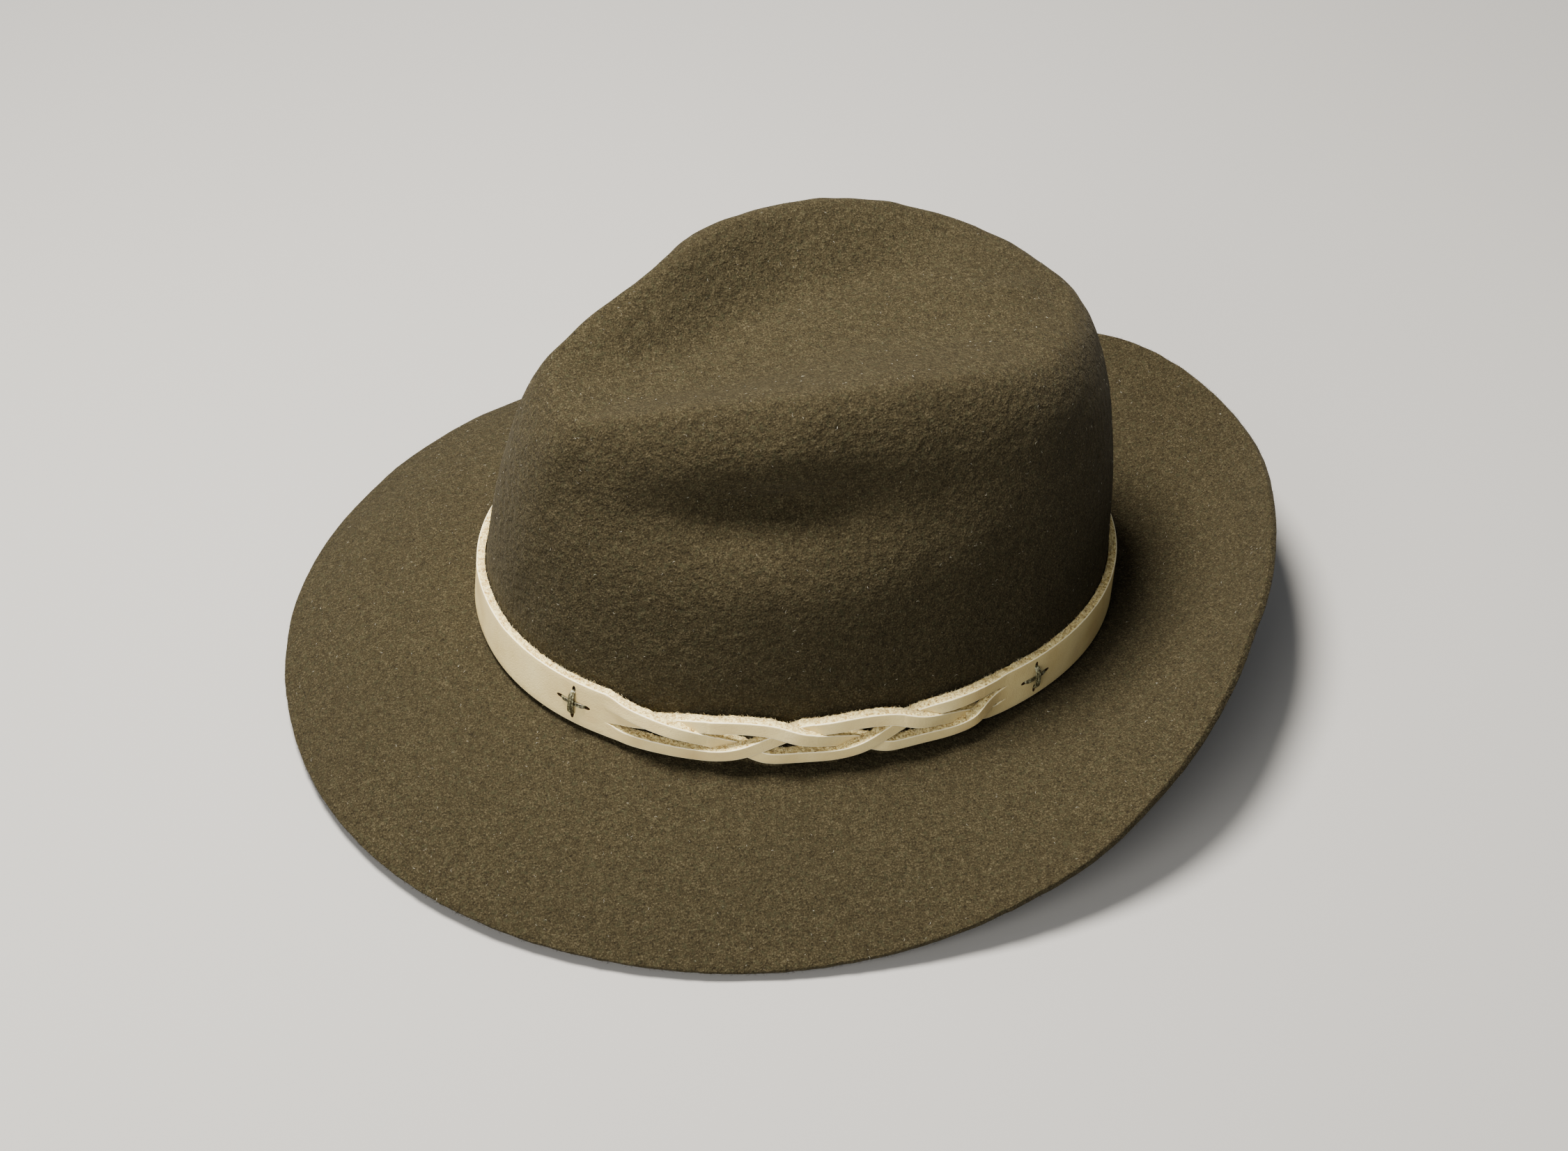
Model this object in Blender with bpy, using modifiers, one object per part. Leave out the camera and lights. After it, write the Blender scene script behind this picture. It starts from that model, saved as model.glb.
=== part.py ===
"""Fedora: one pressed felt with a pinched teardrop crown, a leather band with a
three-strand braid cut in it, and a cross stitch of thread at each end of the braid.

Metres, +Z up. The front of the hat faces -Y and the braided side faces +X.
Angles run round the hat from the back: 0 back, 90 the braided side, 180 front, 270 far side.
Heights inside the shape functions start at the break, where the crown turns into the brim.
"""
from collections import namedtuple
from math import radians

import bmesh
import bpy
import numpy as np
from mathutils import Matrix, Vector

# Driving sizes, each free to change on its own.
HEAD_LENGTH = 0.202        # inside the felt at the break
HEAD_WIDTH = 0.161
CROWN_HEIGHT = 0.114       # break to the highest part of the ridge
BRIM_WIDTH = 0.070         # along the felt
FELT_THICKNESS = 0.0025
BREAK_RADIUS = 0.0028      # bend of the felt's middle surface from crown to brim
BAND_HEIGHT = 0.016
LEATHER_THICKNESS = 0.0028
BAND_LIFT = 0.0032         # break to the band's lower edge
BRAID_LENGTH = 0.131       # along the band
BRAID_AHEAD = 0.0245       # middle of the braid ahead of the middle of the side
CROSSINGS_BACK = 0.0040    # crossings sit this much nearer the braid's rear end
STITCH_LENGTH = 0.0092     # hole to hole
STITCH_DISTANCE = 0.0118   # end of the braid to the middle of its cross stitch
THREAD_DIAMETER = 0.0016
CLEARANCE = 0.0003         # between pieces
REST_LEAN = radians(4.3)   # front of the band above its back when the hat rests

HEAD_POWER = 2.1           # roundness of the head oval, 2 is an ellipse
SLIT = 0.0004              # between two strands where they lie side by side
STRAND_SHARE = 0.86        # strand thickness as a share of the leather
SPINE_SHARE = 0.72         # length of the crown's valley as a share of the ridge
VALLEY_ASIDE = 0.21        # the valley's foot lies this share of the half width to the far side

COLUMNS = 72
WALL_ROWS = (0.07, 0.16, 0.26, 0.37, 0.48, 0.59, 0.69, 0.78, 0.86, 0.93, 1.0)
VALLEY_ROWS = (0.08, 0.19, 0.33, 0.49, 0.66, 0.85)
BRIM_ROWS = (0.07, 0.2, 0.38, 0.58, 0.79, 1.0)

# Brim: slope is the mean slope from break to edge in degrees, width a share of BRIM_WIDTH.
Brim = namedtuple("Brim", "angle slope width")
BRIM = (
    Brim(0, 31.7, 0.963),
    Brim(20, 38.0, 0.958),
    Brim(40, 34.0, 0.968),
    Brim(60, 19.5, 0.995),
    Brim(80, -1.5, 1.00),
    Brim(100, -15.0, 1.015),
    Brim(120, -20.0, 1.03),
    Brim(150, -22.3, 1.035),
    Brim(180, -24.5, 1.035),
    Brim(210, -21.0, 1.035),
    Brim(240, -17.0, 1.04),
    Brim(265, -14.5, 1.02),
    Brim(285, -13.0, 1.005),
    Brim(300, -10.5, 0.99),
    Brim(320, 6.5, 0.99),
    Brim(340, 24.0, 0.98),
)
BRIM_CURL = 0.6            # how much of the slope comes in evenly along the width

# Ridge round the top of the crown, one half: across and along are shares of the head's
# half width and half length, height a share of CROWN_HEIGHT, power the wall's fullness.
Ridge = namedtuple("Ridge", "angle across along height power")
RIDGE = (
    Ridge(0, 0.000, 0.815, 0.895, 2.2),
    Ridge(25, 0.273, 0.730, 0.910, 2.1),
    Ridge(45, 0.472, 0.585, 0.938, 2.0),
    Ridge(65, 0.584, 0.405, 0.975, 1.9),
    Ridge(90, 0.621, 0.139, 1.000, 1.7),
    Ridge(115, 0.590, -0.119, 0.997, 1.55),
    Ridge(135, 0.500, -0.347, 0.962, 1.5),
    Ridge(152, 0.370, -0.574, 0.908, 1.55),
    Ridge(165, 0.262, -0.725, 0.855, 1.65),
    Ridge(171, 0.205, -0.785, 0.830, 1.7),
    Ridge(180, 0.000, -0.802, 0.825, 1.75),
)

# Floor of the valley in the top of the crown, from front to back.
Floor = namedtuple("Floor", "along height")
FLOOR = (
    Floor(-0.60, 0.807),
    Floor(-0.30, 0.807),
    Floor(0.00, 0.842),
    Floor(0.30, 0.877),
    Floor(0.50, 0.912),
    Floor(0.62, 0.930),
)

# Dents pressed into the crown's wall. Height and tall are shares of CROWN_HEIGHT, wide is in
# degrees round the hat, depth a share of HEAD_WIDTH, rise the climb per degree towards the back.
Dent = namedtuple("Dent", "angle height wide tall depth rise")
DENTS = (
    Dent(117, 0.70, 26.0, 0.105, 0.080, 0.0012),
    Dent(233, 0.665, 24.0, 0.205, 0.104, 0.0033),
)

# Braid: the strand that goes over and the one under at each crossing, and which lanes meet.
Crossing = namedtuple("Crossing", "over under")
CROSSINGS = (
    Crossing("A", "B"),
    Crossing("C", "A"),
    Crossing("B", "C"),
    Crossing("A", "B"),
    Crossing("C", "A"),
    Crossing("B", "C"),
)


def smooth(xs, ys, x):
    """Cubic through the table's points without overshoot."""
    xs, ys, x = np.asarray(xs, float), np.asarray(ys, float), np.asarray(x, float)
    h, d = np.diff(xs), np.diff(ys) / np.diff(xs)
    m = np.zeros_like(ys)
    same = d[:-1] * d[1:] > 0
    w1, w2 = 2 * h[1:] + h[:-1], h[1:] + 2 * h[:-1]
    safe = np.where(same, d[:-1] * d[1:], 1.0)
    m[1:-1] = np.where(same, safe * (w1 + w2) / (w1 * d[1:] + w2 * d[:-1] + 1e-30), 0.0)
    m[0], m[-1] = d[0], d[-1]
    i = np.clip(np.searchsorted(xs, x, side="right") - 1, 0, len(h) - 1)
    t = (x - xs[i]) / h[i]
    return ((1 + 2 * t) * (1 - t) ** 2 * ys[i] + t * (1 - t) ** 2 * h[i] * m[i]
            + t * t * (3 - 2 * t) * ys[i + 1] + t * t * (t - 1) * h[i] * m[i + 1])


def around(rows, column, angle):
    """Table column at any angle in degrees, joined round the full circle."""
    xs = np.array([row.angle for row in rows], float)
    ys = np.array([getattr(row, column) for row in rows], float)
    xs = np.concatenate([xs[-3:] - 360, xs, xs[:3] + 360])
    ys = np.concatenate([ys[-3:], ys, ys[:3]])
    return smooth(xs, ys, np.mod(angle, 360))


def half_table(column, angle, odd=False):
    """Ridge table column, mirrored from the braided side to the far side."""
    a = np.mod(angle, 360)
    side = np.where(a > 180, -1.0, 1.0)
    xs = np.array([row.angle for row in RIDGE], float)
    ys = np.array([getattr(row, column) for row in RIDGE])
    mirror = -1 if odd else 1
    full_x = np.concatenate([-xs[2:0:-1], xs, 360 - xs[-2:-4:-1]])
    full_y = np.concatenate([mirror * ys[2:0:-1], ys, mirror * ys[-2:-4:-1]])
    value = smooth(full_x, full_y, np.where(a > 180, 360 - a, a))
    return value * side if odd else value


def signed_power(value, power):
    return np.sign(value) * np.maximum(np.abs(value), 1e-12) ** power


def oval(angle, offset):
    """Point and outward normal of the head oval, moved out along the normal by offset."""
    t = np.radians(angle)
    s, c, e = np.sin(t), np.cos(t), 2 / HEAD_POWER
    a, b = HEAD_LENGTH / 2, HEAD_WIDTH / 2
    x, y = b * signed_power(s, e), a * signed_power(c, e)
    nx = signed_power(x / b, HEAD_POWER - 1) / b
    ny = signed_power(y / a, HEAD_POWER - 1) / a
    n = np.hypot(nx, ny)
    return x + offset * nx / n, y + offset * ny / n, nx / n, ny / n


def brim_point(angle, share):
    """Point of the felt's middle surface on the brim; share 0 is the break, 1 the edge."""
    x, y, nx, ny = oval(angle, FELT_THICKNESS / 2 + BREAK_RADIUS)
    slope = np.radians(around(BRIM, "slope", angle))
    length = BRIM_WIDTH * around(BRIM, "width", angle) - BREAK_RADIUS
    out, up = np.zeros_like(x), np.zeros_like(x)
    steps = 24
    for k in range(steps):
        u = share * (k + 0.5) / steps
        here = slope * (1 - BRIM_CURL + 2 * BRIM_CURL * u)
        out = out + np.cos(here) * length * share / steps
        up = up + np.sin(here) * length * share / steps
    start = slope * (1 - BRIM_CURL)
    return x + out * nx, y + out * ny, up - BREAK_RADIUS * (1 - np.cos(start))


def break_point(angle, share):
    """Bend between the wall, share 1, and the brim, share 0."""
    start = np.radians(around(BRIM, "slope", angle)) * (1 - BRIM_CURL)
    turn = start + (np.pi / 2 - start) * share
    x, y, nx, ny = oval(angle, FELT_THICKNESS / 2)
    out = BREAK_RADIUS * (1 - np.sin(turn))
    return x + out * nx, y + out * ny, BREAK_RADIUS * (1 - np.cos(turn)) - BREAK_RADIUS * (1 - np.cos(start))


def ridge_point(angle):
    return (HEAD_WIDTH / 2 * half_table("across", angle, odd=True),
            HEAD_LENGTH / 2 * half_table("along", angle),
            CROWN_HEIGHT * half_table("height", angle))


def dent_depth(angle, height):
    """How far the wall is pressed in."""
    total = np.zeros_like(height)
    for dent in DENTS:
        turn = np.mod(angle - dent.angle + 180, 360) - 180
        rise = height / CROWN_HEIGHT - dent.height + turn * dent.rise
        total = total + dent.depth * HEAD_WIDTH * np.exp(-(turn / dent.wide) ** 2 - (rise / dent.tall) ** 2)
    keep = np.clip((height - BAND_LIFT - BAND_HEIGHT) / (0.25 * CROWN_HEIGHT), 0, 1)
    return total * keep * keep * (3 - 2 * keep)


def wall_point(angle, share):
    """Crown wall from the break, share 0, to the ridge, share 1."""
    bx, by, nx, ny = oval(angle, FELT_THICKNESS / 2)
    rx, ry, rz = ridge_point(angle)
    power = half_table("power", angle)
    turn = share * np.pi / 2
    low = BREAK_RADIUS * np.cos(np.radians(around(BRIM, "slope", angle)) * (1 - BRIM_CURL))
    z = low + (rz - low) * np.sin(turn) ** (2 / power)
    base = np.maximum(np.cos(turn), 0.0) ** (2 / power)
    x, y = rx + (bx - rx) * base, ry + (by - ry) * base
    push = dent_depth(angle, z)
    return x - push * nx, y - push * ny, z


def valley_point(angle, share):
    """Top of the crown from the ridge, share 0, in to the spine of the valley, share 1."""
    rx, ry, rz = wall_point(angle, 1.0)
    _, along, _ = ridge_point(angle)
    sy = SPINE_SHARE * along
    xs = [row.along for row in FLOOR]
    ys = [row.height for row in FLOOR]
    reach = np.clip(sy / (HEAD_LENGTH / 2), xs[0], xs[-1])
    sz = CROWN_HEIGHT * smooth(xs, ys, reach)
    fall = np.minimum(share / 0.85, 1.0) ** 0.8
    z = rz + (sz - rz) * (1 - np.cos(np.pi * fall)) / 2
    aside = -VALLEY_ASIDE * HEAD_WIDTH / 2 * np.sin(np.radians(angle)) ** 2
    return rx + (aside - rx) * share, ry + (sy - ry) * share, z


def felt_rings(columns):
    """Rings of the felt's middle surface from the brim's edge up, over and into the valley."""
    angle = (np.arange(columns) + 0.5) * 360 / columns
    rings = [brim_point(angle, share) for share in reversed(BRIM_ROWS)]
    rings += [break_point(angle, share) for share in (0.0, 0.35, 0.7, 1.0)]
    rings += [wall_point(angle, share) for share in WALL_ROWS]
    rings += [valley_point(angle, share) for share in VALLEY_ROWS]
    return [np.column_stack([np.broadcast_to(c, angle.shape) for c in ring]) for ring in rings]


def rested(points):
    """From the hat's own frame to the way it rests, front up by REST_LEAN."""
    c, s = np.cos(REST_LEAN), np.sin(REST_LEAN)
    x, y, z = np.asarray(points, float).T
    return np.column_stack([x, y * c + z * s, -y * s + z * c])


def add_object(name, points, faces, collection):
    mesh = bpy.data.meshes.new(name)
    mesh.from_pydata([tuple(p) for p in points], [], faces)
    bm = bmesh.new()
    bm.from_mesh(mesh)
    bmesh.ops.recalc_face_normals(bm, faces=bm.faces)
    bm.to_mesh(mesh)
    bm.free()
    mesh.polygons.foreach_set("use_smooth", [True] * len(mesh.polygons))
    obj = bpy.data.objects.new(name, mesh)
    collection.objects.link(obj)
    return obj


def material(name, colour, roughness, metallic=0.0):
    mat = bpy.data.materials.new(name)
    mat.use_nodes = True
    bsdf = mat.node_tree.nodes["Principled BSDF"]
    bsdf.inputs["Base Color"].default_value = (*colour, 1.0)
    bsdf.inputs["Roughness"].default_value = roughness
    bsdf.inputs["Metallic"].default_value = metallic
    mat.diffuse_color = (*colour, 1.0)
    return mat


def build_felt(collection):
    rings = felt_rings(COLUMNS)
    points = rested(np.vstack(rings))
    faces = []
    for r in range(len(rings) - 1):
        for i in range(COLUMNS):
            j = (i + 1) % COLUMNS
            faces.append((r * COLUMNS + i, r * COLUMNS + j, (r + 1) * COLUMNS + j, (r + 1) * COLUMNS + i))
    top = (len(rings) - 1) * COLUMNS
    for i in range(COLUMNS // 2 - 1):
        faces.append((top + i, top + i + 1, top + COLUMNS - 2 - i, top + COLUMNS - 1 - i))
    obj = add_object("felt_body", points, faces, collection)
    solid = obj.modifiers.new("felt thickness", "SOLIDIFY")
    solid.thickness = FELT_THICKNESS
    solid.offset = 0.0
    solid.use_even_offset = True
    obj.data.materials.append(material("felt_olive_brown", (0.105, 0.080, 0.040), 0.95))
    return obj


def band_angles():
    """Arc length along the middle of the strap for fine steps of angle, 0 at the side's middle."""
    angle = np.linspace(-90, 450, 4321)
    x, y, _, _ = oval(angle, FELT_THICKNESS + CLEARANCE + LEATHER_THICKNESS / 2)
    s = np.concatenate([[0], np.cumsum(np.hypot(np.diff(x), np.diff(y)))])
    return angle, s - np.interp(90, angle, s)


def band_frame(along):
    """Angle of the hat at a distance along the band, towards the front from the side's middle."""
    angle, s = band_angles()
    return np.interp(along, s, angle)


def sweep(along, centre, depth, width, thick, corner):
    """Closed bar of leather along the band with a chamfered section.

    centre is the height of its middle, depth its inner face beyond the strap's inner face.
    """
    angle = band_frame(along)
    w, c = width / 2, corner
    section = [(0, -w + c), (0, w - c), (c, w), (thick - c, w),
               (thick, w - c), (thick, -w + c), (thick - c, -w), (c, -w)]
    steps = len(angle)
    slope = np.arctan(np.gradient(centre, along)) if steps > 2 else np.zeros(steps)
    points, size = [], len(section)
    for k in range(steps):
        for out, up in section:
            shift = along[k] - up * np.sin(slope[k])
            a = band_frame(shift)
            x, y, _, _ = oval(a, FELT_THICKNESS + CLEARANCE + depth[k] + out)
            points.append((float(x), float(y), float(centre[k] + up * np.cos(slope[k]))))
    faces = []
    for k in range(steps - 1):
        for i in range(size):
            j = (i + 1) % size
            faces.append((k * size + i, k * size + j, (k + 1) * size + j, (k + 1) * size + i))
    faces += [tuple(range(size)), tuple(range((steps - 1) * size, steps * size))]
    return points, faces


def strand_path(name):
    """Crossing positions with the strand's lane and depth at and between them."""
    lanes = {"A": 1, "B": 0, "C": -1}
    count = len(CROSSINGS)
    pitch = BRAID_LENGTH / (count + 1)
    start = BRAID_AHEAD + BRAID_LENGTH / 2
    knots = [(start, lanes[name], 0.0)]
    for k, crossing in enumerate(CROSSINGS):
        here = start - (k + 1) * pitch - CROSSINGS_BACK
        a, b = crossing
        before = lanes[name]
        lanes[a], lanes[b] = lanes[b], lanes[a]
        depth = 1.0 if name == a else 0.0 if name == b else 0.45
        knots.append((here, (before + lanes[name]) / 2, depth))
        if k < count - 1:
            between = 0.6 if abs(lanes[name]) == 1 else 0.5
            knots.append((here - 0.5 * pitch, lanes[name], between))
    end = start - BRAID_LENGTH
    knots += [(end + 0.25 * pitch, lanes[name], 0.0), (end, lanes[name], 0.0)]
    return knots


def build_band(collection, cutters):
    start = BRAID_AHEAD + BRAID_LENGTH / 2
    _, s = band_angles()
    angle, _ = band_angles()
    loop = np.interp(450, angle, s) - np.interp(90, angle, s)
    along = np.linspace(start, start + loop - BRAID_LENGTH, 60)
    middle = BAND_LIFT + BAND_HEIGHT / 2
    flat = np.full(len(along), middle)
    points, faces = sweep(along, flat, np.zeros(len(along)), BAND_HEIGHT, LEATHER_THICKNESS,
                          0.12 * LEATHER_THICKNESS)
    band = add_object("hat_band", rested(points), faces, collection)
    strand = (BAND_HEIGHT - 2 * SLIT) / 3
    thick = STRAND_SHARE * LEATHER_THICKNESS
    root = 0.6 * LEATHER_THICKNESS
    for name in "ABC":
        knots = np.array(strand_path(name))[::-1]
        here = np.linspace(knots[0, 0], knots[-1, 0], 40)[1:-1]
        lane = smooth(knots[:, 0], knots[:, 1], here)
        rise = smooth(knots[:, 0], knots[:, 2], here)
        here = np.concatenate([[knots[0, 0] - root], here, [knots[-1, 0] + root]])
        lane = np.concatenate([[lane[0]], lane, [lane[-1]]])
        rise = np.concatenate([[rise[0]], rise, [rise[-1]]])
        inset = 0.5 * (LEATHER_THICKNESS - thick)
        width = strand
        points, faces = sweep(here, middle + lane * (strand + SLIT / 2) * 0.985, inset + rise * thick * 1.1,
                              width, thick, 0.2 * thick)
        bar = add_object("strand_" + name, rested(points), faces, cutters)
        join(band, bar, "UNION")
    for side in (1, -1):
        for x, z in stitch_holes(side):
            join(band, hole_cutter(x, z, cutters), "DIFFERENCE")
    band = main_shell(band)
    band.data.materials.append(material("leather_natural", (0.665, 0.612, 0.465), 0.62))
    return band


def main_shell(obj):
    """Settle the joins into the mesh and drop what they leave shut inside it."""
    bpy.context.view_layer.update()
    settled = bpy.data.meshes.new_from_object(obj.evaluated_get(bpy.context.evaluated_depsgraph_get()))
    obj.modifiers.clear()
    old, obj.data = obj.data, settled
    bpy.data.meshes.remove(old)
    bm = bmesh.new()
    bm.from_mesh(settled)
    left, shells = set(bm.verts), []
    while left:
        shell, edge = set(), [left.pop()]
        while edge:
            vert = edge.pop()
            shell.add(vert)
            for link in vert.link_edges:
                other = link.other_vert(vert)
                if other in left:
                    left.remove(other)
                    edge.append(other)
        shells.append(shell)
    keep = max(shells, key=len)
    bmesh.ops.delete(bm, geom=[v for v in bm.verts if v not in keep], context="VERTS")
    bm.to_mesh(settled)
    bm.free()
    settled.name = obj.name
    return obj


def join(obj, other, operation):
    mod = obj.modifiers.new(operation.lower(), "BOOLEAN")
    mod.operation = operation
    mod.solver = "EXACT"
    mod.object = other


def stitch_middle(side):
    """Distance along the band of a cross stitch: 1 ahead of the braid, -1 behind it."""
    return BRAID_AHEAD + side * (BRAID_LENGTH / 2 + STITCH_DISTANCE)


def stitch_holes(side):
    """The four holes of a cross stitch: level pair, then upright pair."""
    at, half = stitch_middle(side), STITCH_LENGTH / 2
    middle = BAND_LIFT + BAND_HEIGHT / 2
    return [(at - half, middle), (at + half, middle), (at, middle - half), (at, middle + half)]


def band_place(along, height, out):
    """Point off the band's outer face by out."""
    a = band_frame(along)
    x, y, nx, ny = oval(a, FELT_THICKNESS + CLEARANCE + LEATHER_THICKNESS + out)
    return np.array([float(x), float(y), float(height)]), np.array([float(nx), float(ny), 0.0])


def hole_cutter(along, height, cutters):
    point, normal = band_place(along, height, -LEATHER_THICKNESS / 2)
    point = rested([point])[0]
    normal = rested([normal])[0]
    bm = bmesh.new()
    radius = THREAD_DIAMETER / 2 + CLEARANCE
    turn = Vector(normal).to_track_quat("Z", "Y").to_matrix().to_4x4()
    bmesh.ops.create_cone(bm, cap_ends=True, segments=10, radius1=radius, radius2=radius,
                          depth=LEATHER_THICKNESS * 2, matrix=Matrix.Translation(Vector(point)) @ turn)
    mesh = bpy.data.meshes.new("stitch_hole")
    bm.to_mesh(mesh)
    bm.free()
    cutter = bpy.data.objects.new("stitch_hole", mesh)
    cutters.objects.link(cutter)
    return cutter


def thread_arm(name, ends, height_out, collection):
    """Round thread that comes out of one hole, lies over the leather and goes into the next."""
    (s0, z0), (s1, z1) = ends
    r = THREAD_DIAMETER / 2
    deep = LEATHER_THICKNESS - 2 * CLEARANCE
    path = [(0.0, -deep), (0.0, -0.3 * deep), (0.01, 0.15 * r), (0.07, height_out * 0.6), (0.2, height_out * 0.93),
            (0.5, height_out), (0.8, height_out * 0.93), (0.93, height_out * 0.6), (0.99, 0.15 * r),
            (1.0, -0.3 * deep), (1.0, -deep)]
    spots = []
    for share, out in path:
        point, _ = band_place(s0 + (s1 - s0) * share, z0 + (z1 - z0) * share, out)
        spots.append(point)
    spots = rested(spots)
    curve = bpy.data.curves.new(name, "CURVE")
    curve.dimensions = "3D"
    curve.bevel_depth = r
    curve.bevel_resolution = 1
    curve.use_fill_caps = True
    spline = curve.splines.new("POLY")
    spline.points.add(len(spots) - 1)
    for k, spot in enumerate(spots):
        spline.points[k].co = (*spot, 1.0)
    obj = bpy.data.objects.new(name, curve)
    collection.objects.link(obj)
    return obj


def as_mesh(obj, name, collection):
    """Plain mesh object made from a curve object."""
    mesh = bpy.data.meshes.new_from_object(obj.evaluated_get(bpy.context.evaluated_depsgraph_get()))
    bm = bmesh.new()
    bm.from_mesh(mesh)
    bmesh.ops.remove_doubles(bm, verts=bm.verts, dist=0.00001)
    bmesh.ops.recalc_face_normals(bm, faces=bm.faces)
    bm.to_mesh(mesh)
    bm.free()
    mesh.name = name
    made = bpy.data.objects.new(name, mesh)
    collection.objects.link(made)
    curve = obj.data
    bpy.data.objects.remove(obj)
    bpy.data.curves.remove(curve)
    return made


def build_stitch(name, side, mat, collection, cutters):
    holes = stitch_holes(side)
    rest = CLEARANCE + THREAD_DIAMETER / 2
    level = thread_arm(name + "_level", holes[:2], rest, cutters)
    upright = thread_arm(name + "_upright", holes[2:], rest + 0.8 * THREAD_DIAMETER, cutters)
    bpy.context.view_layer.update()
    level = as_mesh(level, name + "_level_arm", cutters)
    stitch = as_mesh(upright, name, collection)
    join(stitch, level, "UNION")
    stitch.data.materials.clear()
    stitch.data.materials.append(mat)
    stitch.data.polygons.foreach_set("use_smooth", [True] * len(stitch.data.polygons))
    return stitch


def lift_to_floor(objects, others):
    """Put the middle of the hat over the origin with its lowest point at height 0."""
    bpy.context.view_layer.update()
    graph = bpy.context.evaluated_depsgraph_get()
    low, high = np.full(3, np.inf), np.full(3, -np.inf)
    for obj in objects:
        mesh = obj.evaluated_get(graph).to_mesh()
        co = np.empty(len(mesh.vertices) * 3)
        mesh.vertices.foreach_get("co", co)
        co = co.reshape(-1, 3)
        low, high = np.minimum(low, co.min(0)), np.maximum(high, co.max(0))
        obj.evaluated_get(graph).to_mesh_clear()
    move = Matrix.Translation((-(low[0] + high[0]) / 2, -(low[1] + high[1]) / 2, -low[2]))
    for obj in list(objects) + list(others):
        obj.data.transform(move)


def main():
    for obj in list(bpy.data.objects):
        bpy.data.objects.remove(obj)
    collection = bpy.data.collections.new("fedora")
    cutters = bpy.data.collections.new("cutters")
    bpy.context.scene.collection.children.link(collection)
    bpy.context.scene.collection.children.link(cutters)
    felt = build_felt(collection)
    band = build_band(collection, cutters)
    thread = material("thread_olive", (0.075, 0.080, 0.038), 0.80)
    front = build_stitch("cross_stitch_front", 1, thread, collection, cutters)
    rear = build_stitch("cross_stitch_rear", -1, thread, collection, cutters)
    for obj in cutters.objects:
        obj.hide_render = True
        obj.display_type = "WIRE"
    lift_to_floor([felt, band, front, rear], list(cutters.objects))


main()
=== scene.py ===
# %% [markdown]
# # A felt fedora with a braided leather band
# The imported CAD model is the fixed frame: it says where each piece is and how big it is.
# This lesson dresses it, piece by piece: felt, leather, thread, and the fibres that stand off them.

# %% Load the frame
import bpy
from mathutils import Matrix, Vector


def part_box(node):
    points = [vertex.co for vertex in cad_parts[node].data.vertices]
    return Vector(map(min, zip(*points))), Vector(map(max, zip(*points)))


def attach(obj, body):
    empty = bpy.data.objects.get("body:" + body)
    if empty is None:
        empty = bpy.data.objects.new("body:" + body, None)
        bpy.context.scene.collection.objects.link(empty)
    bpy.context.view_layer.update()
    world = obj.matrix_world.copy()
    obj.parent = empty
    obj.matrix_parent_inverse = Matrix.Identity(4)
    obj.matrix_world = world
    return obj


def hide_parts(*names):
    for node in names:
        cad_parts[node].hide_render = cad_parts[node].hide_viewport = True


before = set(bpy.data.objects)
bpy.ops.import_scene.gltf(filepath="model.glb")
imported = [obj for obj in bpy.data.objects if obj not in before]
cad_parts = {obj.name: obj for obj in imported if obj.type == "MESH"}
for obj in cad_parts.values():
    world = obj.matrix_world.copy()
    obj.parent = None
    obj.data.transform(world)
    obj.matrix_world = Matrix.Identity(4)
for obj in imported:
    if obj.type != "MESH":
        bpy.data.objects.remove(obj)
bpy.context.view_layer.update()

# %% [markdown]
# ## Sizes and shape tables
# A real fedora starts as one felt cone that is steamed over a wooden block, so a few block sizes and
# a handful of hand-made dents describe it. The same named sizes and short tables drive the CAD model.
# Repeating them here, rather than reading mesh points, lets the felt be rebuilt as finely as we like.

# %% Sizes in metres
from collections import namedtuple
from math import radians

import bmesh
import bpy
import numpy as np
from mathutils import Matrix, Vector

HEAD_LENGTH, HEAD_WIDTH, HEAD_POWER = 0.202, 0.161, 2.1
CROWN_HEIGHT, BRIM_WIDTH = 0.114, 0.070
FELT_THICKNESS, BREAK_RADIUS = 0.0025, 0.0028
BAND_HEIGHT, BAND_LIFT, LEATHER_THICKNESS = 0.016, 0.0032, 0.0028
BRAID_LENGTH, BRAID_AHEAD, CROSSINGS_BACK = 0.131, 0.0245, 0.004
STITCH_LENGTH, STITCH_DISTANCE, THREAD_DIAMETER = 0.0092, 0.0118, 0.0016
CLEARANCE, REST_LEAN = 0.0003, radians(4.3)
print("felt", FELT_THICKNESS * 1000, "mm thick, leather", LEATHER_THICKNESS * 1000, "mm thick")

# %% Brim, ridge, floor and dent tables
Brim = namedtuple("Brim", "angle slope width")
BRIM = [Brim(*row) for row in (
    (0, 31.7, 0.963), (20, 38.0, 0.958), (40, 34.0, 0.968), (60, 19.5, 0.995),
    (80, -1.5, 1.00), (100, -15.0, 1.015), (120, -20.0, 1.03), (150, -22.3, 1.035),
    (180, -24.5, 1.035), (210, -21.0, 1.035), (240, -17.0, 1.04), (265, -14.5, 1.02),
    (285, -13.0, 1.005), (300, -10.5, 0.99), (320, 6.5, 0.99), (340, 24.0, 0.98))]

Ridge = namedtuple("Ridge", "angle across along height power")
RIDGE = [Ridge(*row) for row in (
    (0, 0.000, 0.815, 0.895, 2.2), (25, 0.273, 0.730, 0.910, 2.1), (45, 0.472, 0.585, 0.938, 2.0),
    (65, 0.584, 0.405, 0.975, 1.9), (90, 0.621, 0.139, 1.000, 1.7), (115, 0.590, -0.119, 0.997, 1.55),
    (135, 0.500, -0.347, 0.962, 1.5), (152, 0.370, -0.574, 0.908, 1.55),
    (165, 0.262, -0.725, 0.855, 1.65), (171, 0.205, -0.785, 0.830, 1.7),
    (180, 0.000, -0.802, 0.825, 1.75))]

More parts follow.
